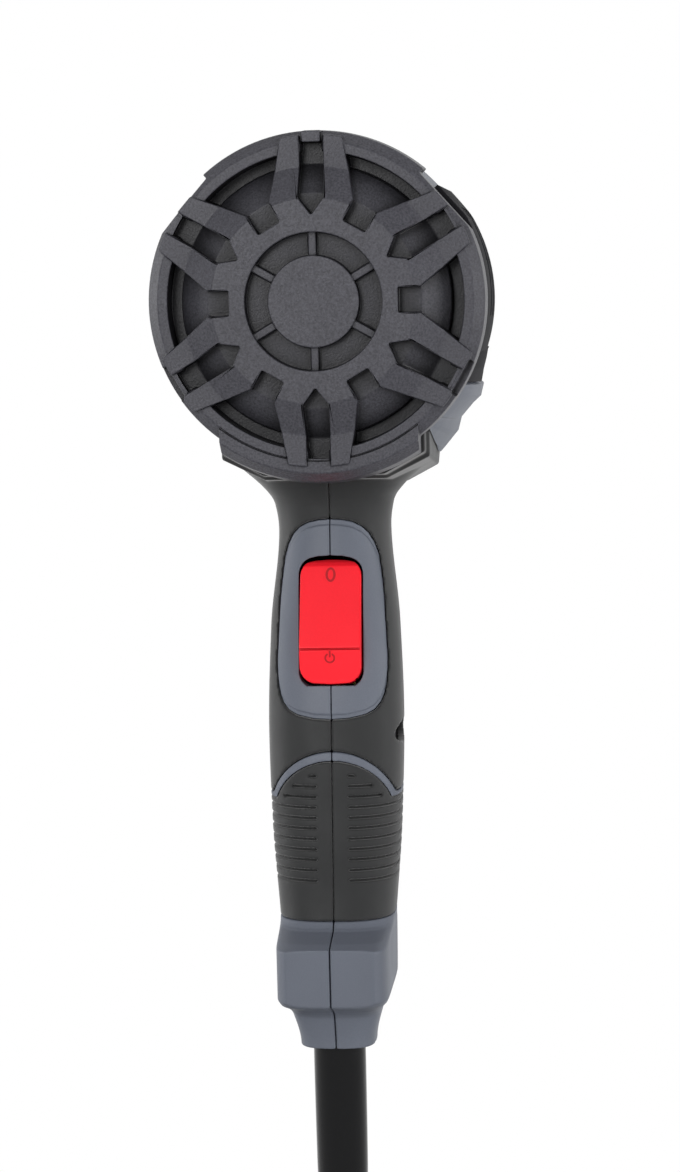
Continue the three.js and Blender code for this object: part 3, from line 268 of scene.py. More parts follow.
class HotAirSizes(bpy.types.PropertyGroup):
    """Sizes of the finish"""
    cap_edge: FloatProperty(
        name="Cap edge", description="Radius of the rear cap's moulded edges, mm", default=0.35,
        min=0.05, max=1)
    shell_edge: FloatProperty(
        name="Shell edge", description="Radius of the barrel's and the grilles' edges, mm", default=0.35,
        min=0.05, max=1)
    skin_voxel: FloatProperty(
        name="Skin voxel", description="Fineness of the soft skins, mm", default=0.42, min=0.2, max=2)
    turned_sides: IntProperty(
        name="Turned sides", description="Facets round a turned surface", default=144, min=24, max=360)
    key_power: lamp_power("Key lamp", "Power of the key lamp", 13)
    strip_power: lamp_power("Strip lamp", "Power of the narrow lamp", 3)
    edge_power: lamp_power("Edge lamp", "Power of the left edge lamp", 11)
    fill_power: lamp_power("Fill lamp", "Power of the right edge lamp", 9.5)
    top_power: lamp_power("Top lamp", "Power of the top lamp", 2)


def colour(label, text, default):
    return FloatVectorProperty(
        name=label, description=text, subtype="COLOR", size=3, min=0, max=1, default=default)


class HotAirColours(bpy.types.PropertyGroup):
    """Colours of the finish"""
    cap: colour("Cap", "Charcoal plastic of the rear cap", (0.050, 0.0495, 0.0585))
    rubber: colour("Rubber", "Soft skin of the handle", (0.0165, 0.017, 0.0175))
    shell: colour("Shell", "Blue-grey plastic of the casing", (0.109, 0.120, 0.147))
    switch: colour("Switch", "Red plastic of the rocker", (0.88, 0.015, 0.027))
    guard: colour("Guard", "Black plastic of the guard and grilles", (0.012, 0.012, 0.014))
    lead: colour("Lead", "Black jacket of the lead", (0.004, 0.004, 0.0045))
    steel: colour("Steel", "Steel of the nozzle", (0.56, 0.55, 0.54))


# Bench: temporary objects in millimetres, joined and cut before they are placed

def bench(name, points, faces):
    mesh = bpy.data.meshes.new(name)
    mesh.from_pydata([tuple(point) for point in points], [], faces)
    form = bmesh.new()
    form.from_mesh(mesh)
    bmesh.ops.remove_doubles(form, verts=form.verts, dist=1e-4)
    bmesh.ops.recalc_face_normals(form, faces=form.faces)
    form.to_mesh(mesh)
    form.free()
    piece = bpy.data.objects.new(name, mesh)
    bpy.context.scene.collection.objects.link(piece)
    return piece


def baked(piece):
    """The mesh of a piece with its modifiers applied; the modifiers are then gone"""
    graph = bpy.context.evaluated_depsgraph_get()
    mesh = bpy.data.meshes.new_from_object(piece.evaluated_get(graph))
    piece.modifiers.clear()
    piece.data = mesh
    return piece


def scrap(*pieces):
    for piece in pieces:
        bpy.data.objects.remove(piece, do_unlink=True)


def twin(piece):
    other = bpy.data.objects.new(piece.name, piece.data.copy())
    bpy.context.scene.collection.objects.link(other)
    return other


def combine(base, others, operation):
    for other in others:
        step = base.modifiers.new("combine", "BOOLEAN")
        step.operation = operation
        step.solver = "MANIFOLD"
        step.object = other
    baked(base)
    scrap(*others)
    return base


def join(base, *others):
    return combine(base, others, "UNION")


def cut(base, *others):
    return combine(base, others, "DIFFERENCE")


def common(base, *others):
    return combine(base, others, "INTERSECT")


def turned(profile, sides=None, axis="Y", at=(0.0, 0.0, 0.0)):
    """A profile of (radius, height) points turned about an axis"""
    sides = sides or bpy.context.scene.hot_air_sizes.turned_sides
    closed = not (profile[0][0] == 0 and profile[-1][0] == 0)
    points, rings, faces = [], [], []
    for radius, height in profile:
        start = len(points)
        for i in range(1 if radius == 0 else sides):
            turn = 2 * math.pi * i / sides
            across, along = radius * math.cos(turn), radius * math.sin(turn)
            place = (across, height, along) if axis == "Y" else (across, along, height)
            points.append(Vector(place) + Vector(at))
        rings.append((start, len(points) - start))
    pairs = list(zip(rings, rings[1:]))
    if closed:
        pairs.append((rings[-1], rings[0]))
    for (a, count_a), (b, count_b) in pairs:
        for i in range(sides):
            j = (i + 1) % sides
            if count_a == 1 and count_b == 1:
                continue
            if count_a == 1:
                faces.append((a, b + j, b + i))
            elif count_b == 1:
                faces.append((a + i, a + j, b))
            else:
                faces.append((a + i, a + j, b + j, b + i))
    return bench("turned", points, faces)


def extruded(outline, low, high, axis="Y"):
    """An outline in X and Z extruded along Y, or one in Y and Z extruded along X"""
    count = len(outline)
    ends = []
    for height in (low, high):
        for u, v in outline:
            ends.append((u, height, v) if axis == "Y" else (height, u, v))
    faces = [tuple(range(count)), tuple(range(2 * count - 1, count - 1, -1))]
    for i in range(count):
        j = (i + 1) % count
        faces.append((i, j, count + j, count + i))
    return bench("extruded", ends, faces)


def block(x, y, z, spin=0.0):
    """A box between pairs of limits, turned about the barrel's axis"""
    corners = [(i, j, k) for i in x for j in y for k in z]
    faces = [(0, 1, 3, 2), (4, 6, 7, 5), (0, 4, 5, 1), (2, 3, 7, 6), (0, 2, 6, 4), (1, 5, 7, 3)]
    turn = Matrix.Rotation(-spin, 3, "Y")
    return bench("block", [turn @ Vector(corner) for corner in corners], faces)


def rod(radius, low, high, at, axis="X", sides=32):
    """A round bar along an axis; at gives the other two coordinates"""
    points = []
    for height in (low, high):
        for i in range(sides):
            turn = 2 * math.pi * (i + 0.5) / sides
            p, q = at[0] + radius * math.cos(turn), at[1] + radius * math.sin(turn)
            points.append({"X": (height, p, q), "Y": (p, height, q), "Z": (p, q, height)}[axis])
    faces = [tuple(range(sides)), tuple(range(2 * sides - 1, sides - 1, -1))]
    faces += [(i, (i + 1) % sides, sides + (i + 1) % sides, sides + i) for i in range(sides)]
    return bench("rod", points, faces)


def lofted(rings):
    count = len(rings[0])
    points = [point for ring in rings for point in ring]
    faces = [tuple(range(count)), tuple(range(len(points) - 1, len(points) - count - 1, -1))]
    for r in range(len(rings) - 1):
        for i in range(count):
            j = (i + 1) % count
            a = r * count
            faces.append((a + i, a + j, a + count + j, a + count + i))
    return bench("lofted", points, faces)


def arc(centre, radii, start, end, steps):
    turns = [start + (end - start) * i / steps for i in range(steps + 1)]
    return [(centre[0] + radii[0] * math.cos(t), centre[1] + radii[1] * math.sin(t)) for t in turns]


def mirrored(half):
    return list(half) + [(-u, v) for u, v in reversed(half) if u != 0]


def smoothed(table, place):
    """Monotone cubic through (place, value) pairs, so nothing overshoots at a ledge"""
    index = next((i for i in range(len(table) - 1) if place <= table[i + 1][0]), len(table) - 2)

    def slope(k):
        return (table[k + 1][1] - table[k][1]) / (table[k + 1][0] - table[k][0])

    def tangent(k):
        if k in (0, len(table) - 1):
            return 0.0
        before, after = slope(k - 1), slope(k)
        return 0.0 if before * after <= 0 else 2 * before * after / (before + after)

    (p0, v0), (p1, v1) = table[index], table[index + 1]
    span = p1 - p0
    t = min(max((place - p0) / span, 0.0), 1.0)
    return ((2 * t**3 - 3 * t**2 + 1) * v0 + (t**3 - 2 * t**2 + t) * tangent(index) * span
            + (3 * t**2 - 2 * t**3) * v1 + (t**3 - t**2) * tangent(index + 1) * span)


# Nodes: what builds any tree, then Geometry Nodes for what repeats and what follows a path

def feed(tree, node, sockets):
    """Each socket takes a value, or is linked to the output that feeds it"""
    for socket, value in sockets.items():
        if isinstance(value, bpy.types.NodeSocket):
            tree.links.new(value, node.inputs[socket])
        else:
            node.inputs[socket].default_value = value
    return node


def add_node(tree, kind, sockets=None, **settings):
    node = tree.nodes.new(kind)
    for setting, value in settings.items():
        setattr(node, setting, value)
    return feed(tree, node, sockets or {})


def node_group(name, kind, given, made):
    """A node group with sockets of (label, type, default): its tree, its inputs and its output node"""
    tree = bpy.data.node_groups.new(name, kind)
    for direction, sockets in (("INPUT", given), ("OUTPUT", made)):
        for label, socket_type, default in sockets:
            socket = tree.interface.new_socket(
                label, in_out=direction, socket_type=f"NodeSocket{socket_type}")
            if default is not None:
                socket.default_value = default
    return tree, tree.nodes.new("NodeGroupInput").outputs, tree.nodes.new("NodeGroupOutput")


def maths(tree, operation, *values):
    return add_node(tree, "ShaderNodeMath", dict(enumerate(values)), operation=operation).outputs[0]


def pattern_tree(name, sockets):
    """A Geometry Nodes tree: the piece comes in, with the named values and the material to set at the end"""
    piece = ("Geometry", "Geometry", None)
    return node_group(name, "GeometryNodeTree", (piece, *sockets, ("Material", "Material", None)), (piece,))


def finish_tree(tree, last, given, output):
    realize = add_node(tree, "GeometryNodeRealizeInstances", {0: last.outputs[0]})
    paint = add_node(tree, "GeometryNodeSetMaterial", {
        "Geometry": realize.outputs[0], "Material": given["Material"]})
    feed(tree, output, {0: paint.outputs[0]})
    return tree


def round_pattern_tree():
    """Copies of the piece round the barrel's axis"""
    tree, given, output = pattern_tree("round pattern", (("Count", "Int", 6), ("Phase", "Float", 0.0)))
    line = add_node(tree, "GeometryNodeMeshLine", {"Count": given["Count"], "Offset": (0, 0, 0)})
    index = add_node(tree, "GeometryNodeInputIndex")
    step = maths(tree, "DIVIDE", -2 * math.pi, given["Count"])
    turn = maths(tree, "MULTIPLY_ADD", index.outputs[0], step, given["Phase"])
    spin = add_node(tree, "ShaderNodeCombineXYZ", {"Y": turn})
    euler = add_node(tree, "FunctionNodeEulerToRotation", {0: spin.outputs[0]})
    place = add_node(tree, "GeometryNodeInstanceOnPoints", {
        "Points": line.outputs[0], "Instance": given["Geometry"], "Rotation": euler.outputs[0]})
    return finish_tree(tree, place, given, output)


def row_pattern_tree():
    """Copies of the piece along a straight line"""
    tree, given, output = pattern_tree("row pattern", (("Count", "Int", 6), ("Step", "Vector", (0, 0, 0))))
    line = add_node(tree, "GeometryNodeMeshLine", {"Count": given["Count"], "Offset": given["Step"]})
    place = add_node(tree, "GeometryNodeInstanceOnPoints", {
        "Points": line.outputs[0], "Instance": given["Geometry"]})
    return finish_tree(tree, place, given, output)


def winding_tree():
    """A round wire wound along the barrel's axis"""
    tree, given, output = pattern_tree("heater winding", (
        ("Turns", "Float", 10.0), ("Radius", "Float", 12.0), ("Length", "Float", 62.0),
        ("Wire", "Float", 0.8), ("Start", "Vector", (0, 0, 0))))
    spiral = add_node(tree, "GeometryNodeCurveSpiral", {
        "Resolution": 40, "Rotations": given["Turns"], "Start Radius": given["Radius"],
        "End Radius": given["Radius"], "Height": given["Length"]})
    lay = add_node(tree, "GeometryNodeTransform", {
        "Geometry": spiral.outputs[0], "Translation": given["Start"], "Rotation": (-math.pi / 2, 0, 0)})
    section = add_node(tree, "GeometryNodeCurvePrimitiveCircle", {"Resolution": 12, "Radius": given["Wire"]})
    wire = add_node(tree, "GeometryNodeCurveToMesh", {
        "Curve": lay.outputs[0], "Profile Curve": section.outputs[0], "Fill Caps": True})
    return finish_tree(tree, wire, given, output)


TREES = {"round pattern": round_pattern_tree, "row pattern": row_pattern_tree, "heater winding": winding_tree}


def patterned(piece, name, **values):
    """The piece repeated by a named node tree, as a plain mesh"""
    tree = bpy.data.node_groups.get(name) or TREES[name]()
    step = piece.modifiers.new("pattern", "NODES")
    step.node_group = tree
    for item in tree.interface.items_tree:
        if item.in_out == "INPUT" and item.name in values:
            step[item.identifier] = values[item.name]
    return baked(piece)


# Edges and placing

def rounded(piece, radius, segments=2, angle=35, weighted=False):
    """Edges sharper than the angle rounded; weighted keeps the flat faces' shading flat up to them"""
    edge = piece.modifiers.new("edge", "BEVEL")
    edge.limit_method = "ANGLE"
    edge.angle_limit = math.radians(angle)
    edge.width = radius
    edge.segments = segments
    edge.use_clamp_overlap = False
    edge.miter_outer = "MITER_ARC"
    baked(piece)
    if weighted:
        piece.data.shade_smooth()
        normals = piece.modifiers.new("normals", "WEIGHTED_NORMAL")
        normals.weight = 90
        baked(piece)
    return piece


def moulded(piece, voxel, passes=3):
    """One even skin over a joined solid, with softly rounded edges"""
    skin = piece.modifiers.new("skin", "REMESH")
    skin.mode = "VOXEL"
    skin.voxel_size = voxel
    soften = piece.modifiers.new("soften", "SMOOTH")
    soften.factor = 0.5
    soften.iterations = passes
    return baked(piece)


def welded(piece, distance=0.02):
    form = bmesh.new()
    form.from_mesh(piece.data)
    bmesh.ops.remove_doubles(form, verts=form.verts, dist=distance)
    bmesh.ops.dissolve_degenerate(form, edges=form.edges, dist=distance)
    form.to_mesh(piece.data)
    form.free()
    return piece


def placed(piece, name, material, body=CASING, nodes=(), sharp=32):
    """A finished piece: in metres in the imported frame, named, painted and riding on its body"""
    mesh = piece.data
    mesh.transform(Matrix.Scale(MM, 4) @ Matrix.Translation(-GRIP))
    mesh.shade_smooth()
    if sharp:
        mesh.set_sharp_from_angle(angle=math.radians(sharp))
    mesh.materials.clear()
    mesh.materials.append(material)
    piece.name = name
    mesh.name = name
    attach(piece, body)
    if nodes:
        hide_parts(*nodes)
    return piece


def in_frame(point):
    return (Vector(point) - GRIP) * MM


# Finishes

def noise(tree, vector, scale, detail=3.0, roughness=0.55):
    return add_node(tree, "ShaderNodeTexNoise", {
        "Vector": vector, "Scale": scale, "Detail": detail, "Roughness": roughness}).outputs["Fac"]


def spread(tree, value, low, high, from_low=0.3, from_high=0.7):
    return add_node(tree, "ShaderNodeMapRange", {
        "Value": value, "From Min": from_low, "From Max": from_high, "To Min": low,
        "To Max": high}).outputs["Result"]


def tinted(tree, base, factor):
    """A colour scaled by a value"""
    return add_node(tree, "ShaderNodeVectorMath", {0: base, "Scale": factor}, operation="SCALE").outputs[0]


def moulded_surface_group():
    """Spark-eroded grain, broad shade and rubbed patches of moulded plastic and rubber"""
    tree, given, output = node_group("moulded surface", "ShaderNodeTree", (
        ("Vector", "Vector", None), ("Colour", "Color", (0.5, 0.5, 0.5, 1)), ("Grain size", "Float", 0.4),
        ("Shade", "Float", 0.1), ("Speckle", "Float", 0.1), ("Roughness", "Float", 0.5),
        ("Rub", "Float", 0.06)), (
        ("Colour", "Color", None), ("Roughness", "Float", None), ("Height", "Float", None)))
    vector = given["Vector"]
    grain_scale = maths(tree, "DIVIDE", 1000.0, given["Grain size"])
    grain = noise(tree, vector, grain_scale, 2.0, 0.6)
    fine = noise(tree, vector, maths(tree, "MULTIPLY", grain_scale, 2.3), 1.0)
    broad = noise(tree, vector, 28.0, 2.0)
    patches = noise(tree, vector, 95.0, 4.0, 0.65)
    shade, speckle = (
        spread(tree, pattern, maths(tree, "SUBTRACT", 1.0, given[label]),
               maths(tree, "ADD", 1.0, given[label]))
        for pattern, label in ((broad, "Shade"), (grain, "Speckle")))
    rubbed = spread(tree, patches, given["Rub"], 0.0, 0.35, 0.65)
    feed(tree, output, {
        "Colour": tinted(tree, given["Colour"], maths(tree, "MULTIPLY", shade, speckle)),
        "Roughness": maths(tree, "SUBTRACT", given["Roughness"], rubbed),
        "Height": maths(tree, "ADD", grain, maths(tree, "MULTIPLY", fine, 0.4))})
    return tree


def principled(name, metallic=0.0):
    material = bpy.data.materials.new(name)
    material.use_nodes = True
    tree = material.node_tree
    shader = next(node for node in tree.nodes if node.type == "BSDF_PRINCIPLED")
    shader.inputs["Metallic"].default_value = metallic
    place = tree.nodes.new("ShaderNodeTexCoord")
    return material, tree, shader, place.outputs["Object"]


def bumped(tree, shader, height, depth_mm, strength=1.0):
    bump = add_node(tree, "ShaderNodeBump", {
        "Strength": strength, "Distance": depth_mm * MM, "Height": height})
    feed(tree, shader, {"Normal": bump.outputs[0]})


def shade_recesses(tree, base, amount, reach):
    """Painted shade: the colour darkened where neighbouring surfaces of the piece crowd it"""
    crowd = add_node(tree, "ShaderNodeAmbientOcclusion", {"Distance": reach * MM}, only_local=True, samples=8)
    return tinted(tree, base, spread(tree, crowd.outputs["AO"], 1.0 - amount, 1.0, 0.48, 0.98))


def moulded_finish(name, rgb, roughness, grain=0.4, depth=0.02, shade=0.08, speckle=0.1, rub=0.05,
                   specular=0.5, recess_shade=0.0, reach=6.0, sheen=0.0, tone=1.0):
    """Moulded plastic or rubber; painted shade darkens its recesses within a reach in mm, tone the whole"""
    material, tree, shader, vector = principled(name)
    surface = bpy.data.node_groups.get("moulded surface") or moulded_surface_group()
    group = add_node(tree, "ShaderNodeGroup", {
        "Vector": vector, "Colour": (*(tone * part for part in rgb), 1), "Grain size": grain,
        "Shade": shade, "Speckle": speckle, "Roughness": roughness, "Rub": rub}, node_tree=surface)
    base = group.outputs["Colour"]
    # Painted shade in the recesses, from ambient occlusion
    if recess_shade:
        base = shade_recesses(tree, base, recess_shade, reach)
    feed(tree, shader, {"Base Color": base, "Roughness": group.outputs["Roughness"],
                        "Specular IOR Level": specular, "Sheen Weight": sheen})
    bumped(tree, shader, group.outputs["Height"], depth)
    return material


def brushed_finish(name, rgb, roughness, grain=0.15):
    """Metal with fine marks that run round the barrel"""
    material, tree, shader, vector = principled(name, metallic=1.0)
    stretch = add_node(tree, "ShaderNodeMapping", {"Vector": vector, "Scale": (0.06, 1.0, 0.06)})
    marks = noise(tree, stretch.outputs[0], 1000.0 / grain, 2.0)
    clouds = noise(tree, vector, 70.0, 3.0)
    factor = maths(tree, "MULTIPLY", spread(tree, marks, 0.93, 1.05), spread(tree, clouds, 0.94, 1.04))
    feed(tree, shader, {"Base Color": tinted(tree, tuple(rgb), factor),
                        "Roughness": spread(tree, clouds, roughness - 0.06, roughness + 0.08)})
    bumped(tree, shader, marks, 0.004, 0.5)
    return material


# Bands of heat: place along the ramp, then tint
HEAT_BANDS = (
    (0.0, (1, 1, 1, 1)), (0.45, (1, 0.97, 0.9, 1)), (0.66, (0.98, 0.84, 0.62, 1)),
    (0.8, (0.8, 0.62, 0.6, 1)), (0.9, (0.56, 0.6, 0.78, 1)), (1.0, (0.75, 0.74, 0.74, 1)),
)


def heated_steel_finish(name, rgb):
    """Nozzle steel: brushed, with straw and blue bands of heat near the mouth"""
    material = brushed_finish(name, rgb, 0.3)
    tree = material.node_tree
    shader = next(node for node in tree.nodes if node.type == "BSDF_PRINCIPLED")
    vector = next(node for node in tree.nodes if node.type == "TEX_COORD").outputs["Object"]
    plain = shader.inputs["Base Color"].links[0].from_socket
    split = add_node(tree, "ShaderNodeSeparateXYZ", {0: vector})
    drift = maths(tree, "MULTIPLY", noise(tree, vector, 60.0, 3.0), 0.012)
    along = maths(tree, "ADD", split.outputs["Y"], drift)
    mouth = (NOZZLE_END - GRIP.y) * MM
    heat = spread(tree, along, 0.0, 1.0, mouth - 0.07, mouth + 0.004)
    ramp = add_node(tree, "ShaderNodeValToRGB", {"Fac": heat})
    stops = ramp.color_ramp.elements
    stops[0].position, stops[0].color = HEAT_BANDS[0]
    stops[1].position, stops[1].color = HEAT_BANDS[-1]
    for position, tint in HEAT_BANDS[1:-1]:
        stops.new(position).color = tint
    blend = add_node(tree, "ShaderNodeMix", {"Factor": 1.0, "A": plain, "B": ramp.outputs["Color"]},
                     data_type="RGBA", blend_type="MULTIPLY")
    feed(tree, shader, {"Base Color": blend.outputs["Result"]})
    return material


def mica_finish(name):
    """Layered mica board: pearly flakes in a tan sheet"""
    material, tree, shader, vector = principled(name)
    flakes = add_node(tree, "ShaderNodeTexVoronoi", {"Scale": 420.0, "Vector": vector})
    flake = flakes.outputs["Distance"]
    sheet = add_node(tree, "ShaderNodeMix", {
        "Factor": noise(tree, vector, 600.0, 3.0), "A": (0.50, 0.38, 0.19, 1),
        "B": (0.66, 0.55, 0.33, 1)}, data_type="RGBA")
    feed(tree, shader, {"Base Color": sheet.outputs["Result"],
                        "Roughness": spread(tree, flake, 0.35, 0.75, 0.0, 0.6)})
    bumped(tree, shader, flake, 0.02)
    return material


# Moulded finishes: a colour of the panel or its numbers, the roughness, and what the surface has besides
# The recess shade figures paint shade into a finish's recesses, within its reach in mm
MOULDED = {
    "cap plastic": ("cap", 0.42, {
        "grain": 0.55, "depth": 0.08, "shade": 0.06, "speckle": 0.36, "rub": 0.06, "specular": 0.17,
        "recess_shade": 0.82, "reach": 10.0}),
    "soft rubber": ("rubber", 0.58, {
        "grain": 0.3, "depth": 0.012, "shade": 0.1, "speckle": 0.05, "rub": 0.08, "specular": 0.16,
        "recess_shade": 0.5, "reach": 1.5, "sheen": 0.3}),
    "shell plastic": ("shell", 0.5, {
        "grain": 0.35, "depth": 0.016, "shade": 0.05, "speckle": 0.05, "rub": 0.05, "specular": 0.2,
        "recess_shade": 0.4, "reach": 3.0}),
    "switch plastic": ("switch", 0.36, {
        "grain": 0.5, "depth": 0.008, "shade": 0.05, "speckle": 0.02, "rub": 0.06, "specular": 0.15,
        "recess_shade": 0.6, "reach": 0.9}),
    # The marks are raised in the rocker's own red; their darker tone is painted shade
    "switch mark": ("switch", 0.5, {
        "depth": 0.005, "shade": 0.03, "speckle": 0.02, "specular": 0.2, "tone": 0.42}),
    "guard plastic": ("guard", 0.7, {
        "grain": 0.45, "depth": 0.03, "shade": 0.08, "speckle": 0.1, "rub": 0.06, "specular": 0.05}),
    "lead rubber": ("lead", 0.15, {
        "grain": 3.0, "depth": 0.05, "shade": 0.12, "speckle": 0.04, "rub": 0.06, "specular": 0.16}),
    "nylon": ((0.66, 0.64, 0.57), 0.5, {"grain": 0.6, "depth": 0.015}),
    "circuit board": ((0.02, 0.12, 0.05), 0.35, {"grain": 2.5, "depth": 0.02, "shade": 0.2}),
}
BRUSHED = {
    "plain steel": ((0.46, 0.46, 0.47), 0.38),
    "heater wire": ((0.25, 0.22, 0.19), 0.5),
    "brass": ((0.62, 0.43, 0.14), 0.32),
}


def finish(label):
    """Every finish by name, made the first time that it is asked for"""
    colours = bpy.context.scene.hot_air_colours
    made = bpy.data.materials.get(label)
    if made:
        return made
    if label in MOULDED:
        base, roughness, surface = MOULDED[label]
        rgb = getattr(colours, base) if isinstance(base, str) else base
        return moulded_finish(label, rgb, roughness, **surface)
    if label in BRUSHED:
        return brushed_finish(label, *BRUSHED[label])
    if label == "nozzle steel":
        return heated_steel_finish(label, colours.steel)
    return mica_finish(label)


# Stage

def camera_axes():
    """The camera's right, up and forward, rolled as the photograph is"""
    az, el, roll = CAMERA_AZIMUTH, CAMERA_ELEVATION, CAMERA_ROLL
    forward = Vector((-math.sin(az) * math.cos(el), math.cos(az) * math.cos(el), -math.sin(el)))
    level = Vector((math.cos(az), math.sin(az), 0.0))
    upright = level.cross(forward)
    right = level * math.cos(roll) - upright * math.sin(roll)
    up = level * math.sin(roll) + upright * math.cos(roll)
    return right, up, forward


def make_camera():
    data = bpy.data.cameras.new("photo camera")
    data.sensor_fit = "VERTICAL"
    data.sensor_height = 24.0
    data.lens = FOCAL_PIXELS * data.sensor_height / PHOTO_SIZE[1]
    data.clip_start = 0.01
    data.clip_end = 20.0
    camera = bpy.data.objects.new("photo camera", data)
    bpy.context.scene.collection.objects.link(camera)
    right, up, forward = camera_axes()
    turn = Matrix((right, up, -forward)).transposed().to_4x4()
    camera.matrix_world = Matrix.Translation(in_frame(CAMERA_PLACE)) @ turn
    bpy.context.scene.camera = camera


def softbox(name, place, size, power):
    data = bpy.data.lights.new(name, "AREA")
    data.shape = "RECTANGLE"
    data.size, data.size_y = size
    data.energy = power
    lamp = bpy.data.objects.new(name, data)
    bpy.context.scene.collection.objects.link(lamp)
    lamp.location = place
    lamp.rotation_euler = (Vector(LAMP_AIM) - Vector(place)).to_track_quat("-Z", "Y").to_euler()


def seen_rays(tree):
    """1 for camera, glossy and transmission rays"""
    path = tree.nodes.new("ShaderNodeLightPath").outputs
    glossy = maths(tree, "MAXIMUM", path["Is Camera Ray"], path["Is Glossy Ray"])
    return maths(tree, "MAXIMUM", glossy, path["Is Transmission Ray"])


def mixed(tree, factor, first, second, output):
    """Two shaders mixed by a factor, as the output's surface"""
    mix = add_node(tree, "ShaderNodeMixShader", {"Fac": factor, 1: first.outputs[0], 2: second.outputs[0]})
    add_node(tree, output, {"Surface": mix.outputs[0]})


def make_world():
    world = bpy.data.worlds.new("studio")
    world.use_nodes = True
    tree = world.node_tree
    tree.nodes.clear()
    light = add_node(tree, "ShaderNodeBackground", {"Color": (1, 1, 1, 1), "Strength": WORLD_LIGHT})
    white = add_node(tree, "ShaderNodeBackground", {"Color": (1, 1, 1, 1)})
    mixed(tree, seen_rays(tree), light, white, "ShaderNodeOutputWorld")
    bpy.context.scene.world = world


def floor_material():
    """Pale floor near the tool, fading into the white background"""
    material = bpy.data.materials.new("pale floor")
    material.use_nodes = True
    tree = material.node_tree
    tree.nodes.clear()
    place = tree.nodes.new("ShaderNodeTexCoord")
    length = add_node(tree, "ShaderNodeVectorMath", {0: place.outputs["Object"]}, operation="LENGTH")
    away = spread(tree, length.outputs["Value"], 0.0, 1.0, *FLOOR_FADE)
    paint = add_node(tree, "ShaderNodeBsdfDiffuse", {"Color": (0.86, 0.86, 0.86, 1)})
    white = add_node(tree, "ShaderNodeEmission", {"Color": (1, 1, 1, 1)})
    mixed(tree, maths(tree, "MULTIPLY", away, seen_rays(tree)), paint, white, "ShaderNodeOutputMaterial")
    return material


class HOTAIR_OT_stage(bpy.types.Operator):
    """Set up the camera, the lamps, the pale floor and the white background"""
    bl_idname = "hotair.stage"
    bl_label = "Stage"

    def execute(self, context):
        sizes = context.scene.hot_air_sizes
        context.scene.view_settings.view_transform = "Standard"
        make_camera()
        make_world()
        floor = -(FLOOR_DROP + GRIP.z) * MM
        mesh = bpy.data.meshes.new("floor")
        corners = ((-1, -1), (1, -1), (1, 1), (-1, 1))
        mesh.from_pydata([(x * FLOOR_REACH, y * FLOOR_REACH, floor) for x, y in corners], [], [(0, 1, 2, 3)])
        mesh.materials.append(floor_material())
        ground = bpy.data.objects.new("floor", mesh)
        context.scene.collection.objects.link(ground)
        for name, place, size in LAMPS:
            softbox(name, place, size, getattr(sizes, f"{name}_power"))
        return {"FINISHED"}


# Lead: the free stretch below the sleeve, the coil and the plug

def lead_route():
    """The chosen route: straight out of the sleeve, down round a bend, then the coil in and out again"""
    end = OUTLET_DROP + SLEEVE_LENGTH
    corner = -end - LEAD_STRAIGHT
    route = [Vector((0, OUTLET_Y, z)) for z in (-end - CLEARANCE, -end - CLEARANCE - 2, corner)]
    steps = 12
    for i in range(1, steps + 1):
        turn = math.pi / 2 * i / steps
        route.append(Vector((
            0, OUTLET_Y + LEAD_BEND * (1 - math.cos(turn)), corner - LEAD_BEND * math.sin(turn))))
    route.append(route[-1] + Vector((0, 2, 0)))
    start = route[-1] + Vector((0, CLEARANCE, 0))
    free = LEAD_STRAIGHT + LEAD_BEND * math.pi / 2 + 2
    wound = LEAD_TOTAL - free - LEAD - PLUG_TAIL
    outer = wound / (2 * math.pi * COIL_TURNS) + COIL_PITCH * COIL_TURNS / 4
    centre = start + Vector((-outer, LEAD, 0))
    route.append(start + Vector((0, LEAD * 0.6, 0)))
    steps = 48
    for i in range(int(COIL_TURNS * steps) + 1):
        turns = i / steps
        beyond = turns - COIL_TURNS / 2
        radius = outer - COIL_PITCH * (COIL_TURNS / 2 - abs(beyond))
        climb = min(max(beyond * 2 + 0.5, 0.0), 1.0)
        height = COIL_PITCH * (1 - math.cos(math.pi * climb)) / 2
        turn = 2 * math.pi * turns
        route.append(centre + Vector((radius * math.cos(turn), radius * math.sin(turn), height)))
    last = route[-1]
    route.append(last + Vector((0, -PLUG_TAIL * 0.4, 0)))
    route.append(last + Vector((0, -PLUG_TAIL, 0)))
    return route, centre, outer


def plug_ring(distance, half_width, half_height, power, count=64):
    ring = []
    for i in range(count):
        turn = 2 * math.pi * (i + 0.5) / count
        u, v = math.cos(turn), math.sin(turn)
        ring.append(Vector((
            math.copysign(abs(u) ** (2 / power), u) * half_width, -distance,
            math.copysign(abs(v) ** (2 / power), v) * half_height)))
    return ring


